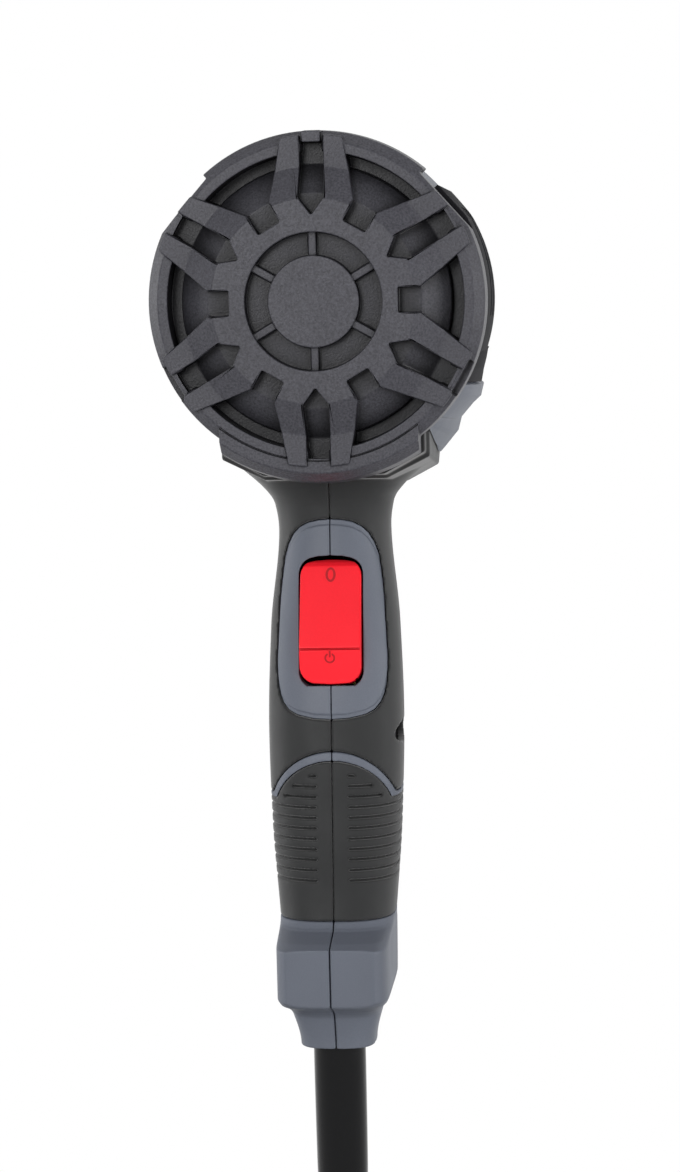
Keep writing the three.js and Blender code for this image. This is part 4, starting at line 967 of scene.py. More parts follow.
def make_plug(end):
    """Moulded two-blade plug with grip recesses, its neck ribbed against bending"""
    half_width, half_height = PLUG_WIDTH / 2, PLUG_HEIGHT / 2
    total = PLUG_NECK + PLUG_LENGTH
    shape = [
        (0, 5.2, 5.2, 2.0),
        (PLUG_NECK, 6.4, 6.4, 2.0),
        (PLUG_NECK + 2, half_width * 0.6, half_height * 0.62, 2.3),
        (PLUG_NECK + 5, half_width * 0.86, half_height * 0.86, 2.9),
        (PLUG_NECK + 9, half_width, half_height, 3.4),
        (total - 9, half_width, half_height, 3.6),
        (total - 2, half_width * 0.9, half_height * 0.92, 3.8),
        (total, half_width * 0.86, half_height * 0.88, 3.8),
    ]
    tables = [[(row[0], row[k]) for row in shape] for k in (1, 2, 3)]
    steps = 52
    rings = []
    for i in range(steps + 1):
        distance = total * i / steps
        ring = plug_ring(distance, *(smoothed(table, distance) for table in tables))
        rings.append([end + point for point in ring])
    body = lofted(rings)
    grooves = []
    for i in range(NECK_GROOVES):
        near = 3.0 + NECK_PITCH * i
        groove = turned([(4.9, near), (9, near), (9, near + 1.2), (4.9, near + 1.2)], 48)
        groove.data.transform(Matrix.Translation(end) @ Matrix.Scale(-1, 4, (0, 1, 0)))
        groove.data.flip_normals()
        grooves.append(groove)
    for side, _ in SIDES:
        for i in range(THUMB_GROOVES):
            y = -(PLUG_NECK + 13 + THUMB_PITCH * i)
            z = sorted((side * (half_height - 0.6), side * (half_height + 4)))
            groove = block((-THUMB_HALF_WIDTH, THUMB_HALF_WIDTH), (y - 0.8, y + 0.8), z)
            groove.data.transform(Matrix.Translation(end))
            grooves.append(groove)
    cut(body, *grooves)
    return placed(rounded(body, 0.3, 2, 40), "plug_moulding", finish("lead rubber"),
                  nodes=("plug_body",))


def make_blade(end, side, name, node):
    x = side * BLADE_SPACING / 2
    face = -PLUG_NECK - PLUG_LENGTH
    root, tip, half = face + 5.6, face - 15.4, BLADE_HALF_WIDTH
    nose = arc((tip, 0), (2.1, half), math.pi / 2, math.pi * 1.5, 10)[1:-1]
    outline = [(root, -half), (root, half), (tip, half), *nose, (tip, -half)]
    blade = extruded(outline, x - BLADE_HALF_THICKNESS, x + BLADE_HALF_THICKNESS, axis="X")
    hole = rod(1.6, x - 2, x + 2, (face - 12, 0), "X", 32)
    cut(blade, hole)
    blade.data.transform(Matrix.Translation(end))
    return placed(rounded(blade, 0.15), name, finish("brass"), nodes=(node,))


def make_tie(centre, outer):
    """Strap round the coil"""
    inner = outer - COIL_PITCH * COIL_TURNS / 2
    near = centre.y - (inner + COIL_PITCH * 0.5 - LEAD / 2 - 0.9)
    far = centre.y - (outer - COIL_PITCH * 0.75 + LEAD / 2 + 0.9)
    low, high = centre.z - LEAD / 2 - 0.3, centre.z + COIL_PITCH + LEAD / 2 + 0.3

    def loop(spare, half_width):
        outline = [(far - spare, low - spare), (near + spare, low - spare), (near + spare, high + spare),
                   (far - spare, high + spare)]
        return extruded(outline, centre.x - half_width, centre.x + half_width, axis="X")

    band = rounded(loop(STRAP_THICKNESS, STRAP_HALF_WIDTH), 1.6, 4, 30)
    cut(band, rounded(loop(0, 6), 1.2, 4, 30))
    return placed(rounded(band, 0.15, 1, 40), "cord_strap", finish("guard plastic"), nodes=("cord_tie",))


class HOTAIR_OT_lead(bpy.types.Operator):
    """Make the mains lead, its coil, strap and plug"""
    bl_idname = "hotair.lead"
    bl_label = "Lead, coil and plug"

    def execute(self, context):
        route, centre, outer = lead_route()
        curve = bpy.data.curves.new("lead", "CURVE")
        curve.dimensions = "3D"
        curve.bevel_depth = LEAD / 2 * MM
        curve.bevel_resolution = 6
        curve.use_fill_caps = True
        spline = curve.splines.new("POLY")
        spline.points.add(len(route) - 1)
        for point, place in zip(spline.points, route):
            point.co = (*in_frame(place), 1)
        spline.use_smooth = True
        curve.materials.append(finish("lead rubber"))
        lead = bpy.data.objects.new("lead", curve)
        context.scene.collection.objects.link(lead)
        plug_end = route[-1] + Vector((0, -CLEARANCE, 0))
        plug = make_plug(plug_end)
        blades = [make_blade(plug_end, side, f"plug_{label}_blade", f"plug_blade_{label}")
                  for side, label in SIDES]
        tie = make_tie(centre, outer)
        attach(lead, CASING)
        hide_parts("mains_cord", "cord_coil")
        tuple(in_frame(route[0]))
        return {"FINISHED"}


# Rear cap

SPOKE_PAIR = ((20.5, -11.2), (HUB_RADIUS, -10.8), (34, -9.6), (POCKET_END + 2, -7.9),
              (POCKET_END + 2, 7.9), (34, 9.6), (HUB_RADIUS, 10.8), (20.5, 11.2))


def round_hub(piece, phase=-math.pi / 2):
    """The piece repeated for each spoke, or between the spokes with another phase"""
    return patterned(piece, "round pattern", Count=SPOKES, Phase=phase)


def wheel_outline():
    """The hub with its six double spokes, as a prism with the windows and notches cut out"""
    top, bottom = -1.0, WINDOW_DEPTH + 1
    hub = turned([(0, top), (HUB_RADIUS + 0.9, top), (HUB_RADIUS + 0.9, bottom), (0, bottom)])
    half = POCKET_WIDTH / 2
    pocket = [(POCKET_TIP, 0), (HUB_RADIUS + 0.2, -half), (SLOPE_END, -0.9 * half), (60, 0.8 - half),
              (60, half - 0.8), (SLOPE_END, 0.9 * half), (HUB_RADIUS + 0.2, half)]
    notch = [(NOTCH_INNER, -NOTCH_WIDTH / 2), (HUB_RADIUS + 5, -NOTCH_WIDTH / 2),
             (HUB_RADIUS + 5, NOTCH_WIDTH / 2), (NOTCH_INNER, NOTCH_WIDTH / 2)]
    spokes = round_hub(extruded(SPOKE_PAIR, top, bottom))
    pockets = round_hub(extruded(pocket, top - 1, bottom + 1))
    notches = round_hub(extruded(notch, top - 1, bottom + 1), -math.pi / 2 + math.pi / SPOKES)
    return cut(join(hub, spokes), pockets, notches)


def make_rear_cap():
    sizes = bpy.context.scene.hot_air_sizes
    skirt = CAP_RADIUS + CAP_FLARE
    floor = turned([
        (0, GROOVE_DEPTH), (GROOVE_OUTER, GROOVE_DEPTH), (GROOVE_OUTER, NOTCH_DEPTH),
        (HUB_RADIUS + 1.4, NOTCH_DEPTH), (SLOPE_END + 0.8, WINDOW_DEPTH), (RIM_INNER, WINDOW_DEPTH),
        (RIM_INNER, RIM_DROP), (CAP_RADIUS - CAP_CHAMFER, RIM_DROP), (CAP_RADIUS, RIM_DROP + CAP_CHAMFER),
        (skirt, CAP_DEPTH), (0, CAP_DEPTH)])
    chin = common(
        turned([(POCKET_END + 0.3, RIM_DROP), (CHIN_RADIUS - CHIN_BEVEL, RIM_DROP),
                (CHIN_RADIUS - 1, RIM_DROP + CHIN_BEVEL), (CHIN_RADIUS, CAP_DEPTH),
                (POCKET_END + 0.3, CAP_DEPTH)]),
        block((-CHIN_HALF, CHIN_HALF), (0, CAP_DEPTH + 1), (-60, CHIN_TOP)))
    wheel = common(wheel_outline(), turned([
        (0, 0), (HUB_RADIUS, 0), (SLOPE_END, SPOKE_DROP), (CAP_RADIUS - 1.1, SPOKE_DROP),
        (CAP_RADIUS - 1.1, WINDOW_DEPTH + 0.5), (0, WINDOW_DEPTH + 0.5)]))
    groove = turned([(GROOVE_INNER, -1), (GROOVE_OUTER, -1), (GROOVE_OUTER, GROOVE_DEPTH),
                     (GROOVE_INNER, GROOVE_DEPTH)])
    dish = turned([(0, -1), (GROOVE_INNER + 1, -1), (GROOVE_INNER + 1, DISH_DEPTH), (0, DISH_DEPTH)])
    cap = cut(join(floor, chin, wheel), groove, dish)
    across = (-HUB_RIB_WIDTH / 2, HUB_RIB_WIDTH / 2)
    rib = block((GROOVE_INNER - 0.5, GROOVE_OUTER + 0.5), (HUB_RIB_DROP, GROOVE_DEPTH + 1), across)
    width = POCKET_WIDTH / 2 - 0.8
    pocket = block((RIM_INNER - 1, POCKET_END), (-1, WINDOW_DEPTH), (-width, width))
    join(cap, round_hub(rib))
    cut(cap, round_hub(pocket))
    flats = [block((FLAT_DISTANCE, 60), (-1, depth), across, angle) for angle, across, depth in (
        (UPPER_FLAT_TURN, (-14, 6), CAP_DEPTH + 1), (math.pi - UPPER_FLAT_TURN, (-6, 14), CAP_DEPTH + 1),
        (math.pi - LOWER_FLAT_TURN, (-5.6, 4.1), WINDOW_DEPTH), (LOWER_FLAT_TURN, (-4.1, 5.6), WINDOW_DEPTH))]
    channel = turned([
        (SLOPE_END + 0.4, WINDOW_DEPTH - 3), (RIM_INNER, WINDOW_DEPTH - 3), (RIM_INNER, CHANNEL_DEPTH),
        (SLOPE_END + 0.8, CHANNEL_DEPTH)])
    cut(channel, round_hub(extruded(SPOKE_PAIR, 0, CAP_DEPTH)))
    cut(cap, channel, *flats)
    tab = block((-TAB_HALF_WIDTH, TAB_HALF_WIDTH), (RIM_DROP - 1, CAP_DEPTH - 3),
                (POCKET_END - 0.2, CAP_RADIUS - 0.2))
    join(cap, tab)
    welded(cap, 0.03)
    rounded(cap, sizes.cap_edge, 2, 18, weighted=True)
    return placed(cap, "rear_cap_moulding", finish("cap plastic"), nodes=("rear_cap",),
                  sharp=0)


class HOTAIR_OT_rear_cap(bpy.types.Operator):
    """Make the rear cap with its hub, double spokes, windows and chin"""
    bl_idname = "hotair.rear_cap"
    bl_label = "Rear cap"

    def execute(self, context):
        make_rear_cap()
        return {"FINISHED"}


# Handle form: one smooth loft through named stations of drop, width, rear, front, middle and power

STATIONS = (
    (42, 2 * SADDLE_HALF, 24, 88, 43, 2.5),
    (46, 49, 27, 85, 44, 2.4),
    (50, 40, 28.6, 81, 44, 2.3),
    (55, 32.6, 29.3, 77, 44, 2.3),
    (NECK_DROP, 30.6, 29, 29 + GRIP_DEPTH + 1.5, 44, 2.3),
    (88, 35.2, 24.6, 24.6 + GRIP_DEPTH - 1, 39, 2.4),
    (PALM_DROP, 36.8, 20, 20 + GRIP_DEPTH, 35, 2.5),
    (142, 35.2, 16.4, 16.4 + GRIP_DEPTH - 0.5, 31, 2.5),
    (HEEL_DROP, 31.4, 13.2, 13.2 + GRIP_DEPTH - 0.5, 28, 2.6),
    (168.4, 31, 11, 57.6, 26, 3.2),
    (170, 30.4, 3, 57.4, 22, 4.5),
    (FOOT_DROP, FOOT_WIDTH, -FOOT_TRIM, 57, 20, 5.5),
    (FOOT_DROP + FOOT_HEIGHT, FOOT_WIDTH, -FOOT_TRIM, 53, 20, 5.5),
    (FOOT_DROP + FOOT_HEIGHT + 1.6, FOOT_WIDTH - 1.2, 0.8, 51, 20.5, 5.2),
    (FOOT_DROP + FOOT_HEIGHT + 3.4, 26.6, 5.5, 46, 21, 4.4),
    (FOOT_DROP + FOOT_HEIGHT + 6, 24.4, OUTLET_Y - 12.6, OUTLET_Y + 14, OUTLET_Y, 3.6),
    (OUTLET_DROP, 2 * OUTLET_RADIUS, OUTLET_Y - OUTLET_RADIUS, OUTLET_Y + OUTLET_RADIUS, OUTLET_Y, 3.2),
)


def handle_ring(drop, inset, count):
    width, rear, front, middle, power = (
        smoothed([(row[0], row[k]) for row in STATIONS], drop) for k in range(1, 6))
    ring = []
    for i in range(count):
        turn = 2 * math.pi * (i + 0.5) / count
        u, v = math.cos(turn), math.sin(turn)
        reach = (middle - rear if v < 0 else front - middle) - inset
        ring.append(Vector((
            math.copysign(abs(u) ** (2 / power), u) * (width / 2 - inset),
            middle + math.copysign(abs(v) ** (2 / power), v) * reach, -drop)))
    return ring


def handle_form(inset, start, end, count=96, step=1.6):
    drops = [row[0] for row in STATIONS if start + 0.4 < row[0] < end - 0.4]
    levels = [start]
    for stop in [*drops, end]:
        parts = max(1, round((stop - levels[-1]) / step))
        first = levels[-1]
        levels += [first + (stop - first) * (i + 1) / parts for i in range(parts)]
    return lofted([handle_ring(drop, inset, count) for drop in levels])


PLATE_HALF = (
    (0, -58.6), (3.2, -58.8), (6.2, -59.5), (8.6, -60.8), (10.4, -62.7), (11.9, -65.4), (13, -68.8),
    (13.7, -73.6), (14.3, -79), (15.2, -95), (15.2, -99.6), (15, -103), (14.4, -106), (13.4, -108.4),
    (11.7, -110.3), (9.4, -111.4), (5, -112.3), (0, -112.6),
)


def plate_prism(inset, lowered=0.0):
    """The switch plate's outline as a prism, drawn in by the inset"""
    shrink_x, shrink_z = 1 - inset / PLATE_HALF_WIDTH, 1 - inset / PLATE_HALF_HEIGHT
    outline = [(x * shrink_x, PLATE_MIDDLE + (z - PLATE_MIDDLE) * shrink_z - lowered) for x, z in PLATE_HALF]
    return extruded(mirrored(outline), -5, 39)


def below_arch(offset):
    outline = arc((0, ARCH_BASE), (17.6 - offset * 0.5, 17.4 - offset), 0, math.pi, 48)
    level = ARCH_BASE + ARCH_SPRING - offset * 0.5
    return join(extruded(outline, -10, ARCH_DEPTH), block((-60, 60), (-10, 110), (-260, level)))


def half_space(side):
    return block((SEAM, 80) if side > 0 else (-80, -SEAM), (-10, 260), (-300, 80))


def saddle_blend():
    reach = BARREL_RADIUS + 12
    return turned([(0, CAP_DEPTH + CLEARANCE), (reach, CAP_DEPTH + CLEARANCE), (reach, SADDLE_FAR),
                   (BARREL_RADIUS - 6, BLEND_END), (0, BLEND_END)])


def flared(sections):
    """A form lofted along the barrel through (outline, y) sections"""
    return lofted([[Vector((x, y, z)) for x, z in outline] for outline, y in sections])


def saddle_half(inset, growth):
    corner = inset - growth * 1.3 - BARREL_RADIUS + 2.6
    bottom = inset - growth - SADDLE_DROP
    return [(0, -30), (SADDLE_HALF - inset, -30), (SADDLE_HALF - inset, corner),
            (SADDLE_FLAT_HALF + growth * 0.75, bottom), (0, bottom)]


def saddle(inset, start):
    near, far = (mirrored(saddle_half(inset, growth)) for growth in (0, SADDLE_GROWTH))
    form = flared(((near, CAP_DEPTH), (far, SADDLE_FAR), (far, BLEND_END + 10)))
    return common(form, block((-80, 80), (start, BLEND_END + 10), (-80, 0)))


def barrel_rear(grow):
    return BARREL_RADIUS - 0.4 + grow


def barrel_curve(grow):
    return [(BARREL_RADIUS + bulge + grow, y) for bulge, y in (
        (-0.2, CAP_DEPTH + 8), (0.0, 42), (-0.5, 62), (-1.6, 80), (-4.4, 100))]


def upper_flats(grow):
    return [block((FLAT_DISTANCE - 0.2 + grow, 80), (CAP_DEPTH, BARREL_LENGTH), (-22, 22), angle)
            for angle in (UPPER_FLAT_TURN, math.pi - UPPER_FLAT_TURN)]


def fair(profile, step=3.0):
    """The same curve with more points, so that the barrel has no facets along its length"""
    table = [(y, r) for r, y in profile]
    count = max(2, round((table[-1][0] - table[0][0]) / step))
    ys = [table[0][0] + (table[-1][0] - table[0][0]) * i / count for i in range(count + 1)]
    return [(smoothed(table, y), y) for y in ys]


def barrel_outside(grow=0.0):
    rim = (barrel_rear(grow), CAP_DEPTH + CLEARANCE)
    nose = (SHOULDER + 1.4 + grow, 118)
    end = (SHOULDER - 0.8 + grow, BARREL_LENGTH)
    return fair([rim, *barrel_curve(grow), nose, end])


def screw_recess(y, z, start=4.0):
    return rod(SCREW_RECESS, start, 60, (y, z), "X", 40)


def palm_recess():
    """The recess of the palm screw, drawn out towards the rear"""
    return extruded(arc(PALM_RECESS, PALM_RECESS_REACH, 0, 2 * math.pi * 39 / 40, 39), 4, 60, axis="X")


def place_halves(forms, node):
    """Both halves of every (form, name, finish, voxel), cut at the seam; voxel 0 leaves edges sharp"""
    for side, label in SIDES:
        for form, name, look, voxel in forms:
            part = common(twin(form), half_space(side))
            if voxel:
                moulded(part, voxel)
            placed(part, f"{label}_{name}", finish(look), nodes=(f"{label}_{node}",),
                   sharp=0 if voxel else 32)
    scrap(*(form for form, *_ in forms))


def make_skins(voxel):
    """Soft skin of the handle with the saddle under the barrel"""
    full = handle_form(0, 42, HEEL_DROP + 4)
    rear = common(saddle(0.9, CAP_DEPTH + CLEARANCE), saddle_blend())
    front = common(saddle(0, COLLAR_STEP), saddle_blend())
    below = cut(full, block((-60, 60), (-10, 110), (-300, ARCH_BASE + ARCH_SPRING)))
    skin = join(below, rear, front)
    cut(skin, handle_form(SKIN + 0.3, 28, HEEL_DROP + 2, 64),
        turned([(0, 0), *barrel_outside(0.2), (0, BARREL_LENGTH)]), plate_prism(0.05), below_arch(0.1),
        palm_recess(), screw_recess(66, -60))
    place_halves([(skin, "soft_skin", "soft rubber", voxel)], "overmould")


def make_pads():
    """Ribbed lower grip"""
    region = common(below_arch(3.1), block((-60, 60), (-10, 110), (-HEEL_DROP, 0)))
    outside = common(handle_form(0, 100, HEEL_DROP + 4), region)
    pad = cut(outside, handle_form(SKIN + 0.3, 90, HEEL_DROP + 2, 64))
    deep = handle_form(1.1, 105, HEEL_DROP + 1, 64)
    z = -RIB_TOP
    slots = []
    for limits in ((RIB_INNER, 40), (-40, -RIB_INNER)):
        groove = block(limits, (-10, 50), (z - RIB_GROOVE / 2, z + RIB_GROOVE / 2))
        slots.append(patterned(groove, "row pattern", Count=RIBS, Step=(0, 0, -RIB_PITCH)))
    margin = cut(below_arch(3 + 2.6), block((-RIB_INNER, RIB_INNER), (-20, 120), (-300, 0)))
    grooves = common(cut(join(slots[0], slots[1]), deep), margin)
    cut(pad, grooves, screw_recess(46, -158))
    place_halves([(pad, "ribbed_pad", "soft rubber", 0.3)], "grip_pad")


def slot_outline(grow):
    half = SWITCH_SLOT / 2 + grow
    top, bottom = -SLOT_TOP + grow, -SLOT_BOTTOM - grow
    return mirrored([
        (0, top + 0.4), (half - 5.4, top + 0.2), (half - 3.2, top - 0.3), (half - 2, top - 0.9),
        (half - 1, top - 1.8), (half - 0.3, top - 3), (half, top - 4.4), (half, bottom + 4.2),
        (half - 0.3, bottom + 3), (half - 1, bottom + 1.8), (half - 2, bottom + 0.9),
        (half - 3.4, bottom + 0.3), (0, bottom)])


def slot_space():
    """The slot, its lower end wall curved about the rocker's pin"""
    half = SWITCH_SLOT
    wall = cut(block((-half, half), (10, ROCKER_PIVOT[0] - 1), (-SLOT_BOTTOM - 2, -SLOT_BOTTOM + 7)),
               rod(ROCKER_END + 0.4, -half - 1, half + 1, ROCKER_PIVOT, "X", 96))
    return cut(extruded(slot_outline(0), -5, 60), wall)


def make_shell_parts():
    """Grey parts of the casing on the handle: switch plate, arched strip, foot, and the core behind them"""
    full = handle_form(0, 42, OUTLET_DROP)
    slot = slot_space()
    crescent = common(handle_form(0.45, 42, 130), plate_prism(CLEARANCE))
    raised = common(twin(full), *(plate_prism(CLEARANCE, lowered) for lowered in (0.0, 1.5, -1.3)))
    plate = join(raised, crescent)
    cut(plate, twin(slot), handle_form(4.0, 40, 130, 64))
    strip = cut(common(twin(full), below_arch(0.4)), below_arch(2.7))
    cut(strip, handle_form(3.0, 90, HEEL_DROP + 2, 64))
    foot = common(full, block((-60, 60), (0, 110), (-260, -HEEL_DROP - 0.2)))
    line = cut(block((-30, 30), (-5, 90), (-HEEL_DROP - FOOT_LINE_BOTTOM, -HEEL_DROP - FOOT_LINE_TOP)),
               handle_form(0.5, HEEL_DROP - 6, HEEL_DROP + 10))
    cut(foot, line, rod(SLEEVE_RADIUS + CLEARANCE, -OUTLET_DROP - 5, -FOOT_DROP - 4, (0, OUTLET_Y), "Z", 64))
    core = cut(handle_form(SKIN + 0.5, 43, HEEL_DROP + 1, 64), slot)
    cut(core, handle_form(CORE_INSET, 30, HEEL_DROP + 3, 48))
    place_halves([
        (plate, "switch_plate", "shell plastic", 0.22), (strip, "arch_strip", "shell plastic", 0.25),
        (foot, "foot", "shell plastic", 0.34), (core, "handle_core", "guard plastic", 0)],
        "housing")


class HOTAIR_OT_handle(bpy.types.Operator):
    """Make the handle: soft skins, ribbed pads, switch plate, arched strip and foot"""
    bl_idname = "hotair.handle"
    bl_label = "Handle and foot"

    def execute(self, context):
        make_skins(context.scene.hot_air_sizes.skin_voxel)
        make_pads()
        make_shell_parts()
        return {"FINISHED"}


# Barrel shell with its cheeks, and the grilles let into it

CHEEK = (
    (33.0, -20.0), (40.4, -24.4), (39.6, -28.0), (37.4, -30.0),
    (34.0, -33.9), (33.2, -37.5), (32.2, -38.7), (29.8, -41.6), (28.6, -43.0), (28.6, -28.0),
)
LIP_OUTLINE = ((35.0, -13.4), (42.6, -13.4), (41.9, -17.0), (41.1, -20.0), (40.4, -23.7), (34.0, -20.0))


def fairing(side, outline):
    """Between barrel and saddle, drawn in behind the cap and flaring with depth"""
    far = [(side * x, z) for x, z in outline]
    near = []
    for x, z in far:
        shrink = min(1.0, CHEEK_NEAR_RADIUS / math.hypot(x, z))
        near.append((x * shrink, z * shrink))
    return flared(((near, CAP_DEPTH), (far, CHEEK_FAR), (far, BLEND_END + 10)))


def sector(side, span, margin):
    """A wedge about the barrel's axis; span is its two angles in degrees and its two places along it"""
    low, high = (math.radians(angle) for angle in span[:2])
    spare = margin / BARREL_RADIUS
    outline = [(0, 0), *arc((0, 0), (60, 60), low - spare, high + spare, 12)]
    return extruded([(side * x, z) for x, z in outline], span[2] - margin, span[3] + margin)


def barrel_band(low, high):
    begin = PANEL[2] - 2

    def solid(grow):
        return turned([(0, begin), *fair([(barrel_rear(grow), begin), *barrel_curve(grow)]), (0, 100)])
    return cut(solid(high), solid(low))


def side_window(side, outline):
    """An outline in Y and Z cut through one side of the barrel"""
    return extruded(outline, *((20, 60) if side > 0 else (-60, -20)), axis="X")


def grille_slots(side):
    slot = side_window(side, [(27.2, -5), (30.8, -5), (36.8, 24), (33.2, 24)])
    return patterned(slot, "row pattern", Count=GRILLE_SLOTS, Step=(0, GRILLE_PITCH, 0))


def make_barrel(edge):
    rear, front, beyond = CAP_DEPTH - 3, BARREL_LENGTH - FRONT_WALL, BARREL_LENGTH + FRONT_WALL
    shell = turned([(0, rear), (REAR_SPIGOT, rear), (REAR_SPIGOT, CAP_DEPTH + CLEARANCE), *barrel_outside(),
                    (0, BARREL_LENGTH)])
    cut(shell, *upper_flats(0))
    join(shell, *(cut(common(fairing(side, CHEEK), saddle_blend()), saddle(-CLEARANCE, CAP_DEPTH))
                  for side in (1, -1)))
    inside = [(r - BARREL_WALL, y) for r, y in barrel_outside()]
    cut(shell, turned([
        (0, 5), (REAR_MOUTH, 5), (REAR_MOUTH, CAP_DEPTH + 1), *inside[1:-2], (SHOULDER - BARREL_WALL, front),
        (NOZZLE_HOLE, front), (NOZZLE_HOLE, beyond), (0, beyond)]))
    for side, _ in SIDES:
        seat = common(barrel_band(PANEL_PROUD - PANEL_THICKNESS - 0.3, 8), sector(side, PANEL, 0.25))
        window = side_window(side, [(26, -7), (77, -7), (77, 26), (26, 26)])
        notch = common(turned([(38, 16), (60, 16), (60, 64), (38, 64)]), sector(side, LIP, 0.25))
        cut(shell, seat, window, notch)
    cut(shell, *(screw_recess(y, z, face) for _, y, z, face in SCREWS if y > 100))
    for side, label in SIDES:
        part = common(twin(shell), half_space(side))
        rounded(welded(part, 0.04), edge, 2, 40)
        placed(part, f"{label}_barrel_shell", finish("shell plastic"), nodes=(f"{label}_housing",))
    scrap(shell)


def make_grilles(edge):
    for side, label in SIDES:
        panel = common(barrel_band(PANEL_PROUD - PANEL_THICKNESS, PANEL_PROUD), sector(side, PANEL, 0))
        lip = common(fairing(side, LIP_OUTLINE), sector(side, LIP, 0))
        cut(join(panel, lip), grille_slots(side), *upper_flats(PANEL_PROUD))
        rounded(welded(panel, 0.04), edge, 2, 40)
        placed(panel, f"{label}_intake_panel", finish("guard plastic"), nodes=(f"{label}_grille",))


class HOTAIR_OT_barrel(bpy.types.Operator):
    """Make the barrel's shells with their cheeks and intake grilles"""
    bl_idname = "hotair.barrel"
    bl_label = "Barrel shells and grilles"

    def execute(self, context):
        edge = context.scene.hot_air_sizes.shell_edge
        make_barrel(edge)
        make_grilles(edge)
        return {"FINISHED"}


# Switch

def rocker_face(drop):
    """Where the long face lies along the barrel"""
    return ROCKER_REAR - (drop - ROCKER_TOP) * ROCKER_SLOPE


def rocker_side(inset):
    """The rocker's side view with its off end pressed in, as (y, z) points"""
    top, lip = rocker_face(ROCKER_TOP) + inset, rocker_face(ROCKER_CREASE) + inset
    end = arc(ROCKER_PIVOT, (ROCKER_END - inset, ROCKER_END - inset), math.radians(249), math.radians(262), 4)
    return [
        (top + 2.0, -ROCKER_TOP - inset), (top + 0.5, -ROCKER_TOP - 0.6 - inset),
        (rocker_face(ROCKER_SHOULDER) + inset, -ROCKER_SHOULDER - inset), (lip + 0.1, -ROCKER_CREASE + 0.26),
        (lip + 0.7, -ROCKER_CREASE + 0.16), (lip + 0.7, -ROCKER_CREASE - 0.16),
        (lip, -ROCKER_CREASE - 0.26), (lip + 0.3, -ROCKER_EDGE), *end,
        (ROCKER_BACK, -ROCKER_BOTTOM + 1.4 + inset), (ROCKER_BACK, -ROCKER_TOP - 0.6 - inset)]


def mark_on_face(points, faces, place, slope, lift):
    """A flat mark drawn in x and height, laid on the rocker's face and raised a little"""
    base = bench("mark", points, faces)
    tilt = Matrix.Rotation(-slope, 4, "X")
    base.data.transform(Matrix.Translation(place) @ tilt @ Matrix.Rotation(math.pi / 2, 4, "X"))
    solid = base.modifiers.new("lift", "SOLIDIFY")
    solid.thickness = lift
    solid.offset = 0.0
    return baked(base)


def ring_mark(rx, ry, width, start, end, steps=40):
    outer = arc((0, 0), (rx, ry), start, end, steps)
    inner = arc((0, 0), (rx - width, ry - width), start, end, steps)
    points = [(x, y, 0) for x, y in outer + inner]
    count = steps + 1
    faces = [(i, i + 1, count + i + 1, count + i) for i in range(steps)]
    return points, faces


def make_rocker():
    """The rocker, cut clear of its slot at both ends of its travel"""
    half = ROCKER_WIDTH / 2
    crown = mirrored([
        (0, -ROCKER_TOP), (half / 2, -ROCKER_TOP - 0.25), (half - 1.7, -ROCKER_TOP - 0.7),
        (half - 0.8, -ROCKER_TOP - 1.5), (half - 0.2, -ROCKER_TOP - 2.8), (half, -ROCKER_TOP - 4.2),
        (half, -CROWN_END), (0, -CROWN_END)])
    lower = common(extruded(slot_outline(-ROCKER_GAP), 0, 60),
                   block((-20, 20), (-1, 61), (-120, 1 - CROWN_END)))
    y, z = ROCKER_PIVOT
    pressed = extruded(slot_outline(-ROCKER_GAP), -20, 80)
    pressed.data.transform(Matrix.Translation((0, y, z)) @ Matrix.Rotation(-ROCKER_TURN, 4, "X")
                           @ Matrix.Translation((0, -y, -z)))
    side = extruded(rocker_side(0), -half, half, axis="X")
    body = common(side, join(extruded(crown, 0, 60), lower), pressed)
    hollow = extruded([*rocker_side(1.4)[:-2], (40, -ROCKER_BOTTOM + 3), (40, -ROCKER_TOP - 2)],
                      -half + ROCKER_WALL, half - ROCKER_WALL, axis="X")
    cut(body, hollow)
    moulded(body, 0.2, 4)
    placed(body, "rocker_cap", finish("switch plastic"), body="rocker", nodes=("rocker",),
           sharp=0)
    zero_place = (0, rocker_face(ZERO_DROP), -ZERO_DROP)
    zero_ring = ring_mark(1.35, 2.05, 0.6, 0, 2 * math.pi)
    zero = mark_on_face(*zero_ring, zero_place, math.atan(ROCKER_SLOPE), 0.24)
    power_place = (0, rocker_face(ROCKER_CREASE) + 0.2, -POWER_DROP)
    slope = -math.atan(LIP_RISE / (ROCKER_EDGE - ROCKER_CREASE))
    power_ring = ring_mark(1.45, 1.45, 0.45, math.pi / 2 + 0.5, 5 * math.pi / 2 - 0.5)
    power = mark_on_face(*power_ring, power_place, slope, 0.3)
    stroke = [(-0.22, 0.2, 0), (0.22, 0.2, 0), (0.22, 2.0, 0), (-0.22, 2.0, 0)]
    bar = mark_on_face(stroke, [(0, 1, 2, 3)], power_place, slope, 0.3)
    # The marks' darker red is painted shade on raised marks of the rocker's own red
    for part, name in ((zero, "rocker_zero"), (power, "rocker_power_ring"), (bar, "rocker_power_bar")):
        placed(part, name, finish("switch mark"), body="rocker")


class HOTAIR_OT_switch(bpy.types.Operator):
    """Make the red rocker and its marks"""
    bl_idname = "hotair.switch"
    bl_label = "Rocker switch"

    def execute(self, context):
        make_rocker()
        return {"FINISHED"}


# Guard, nozzle, heater and sleeve

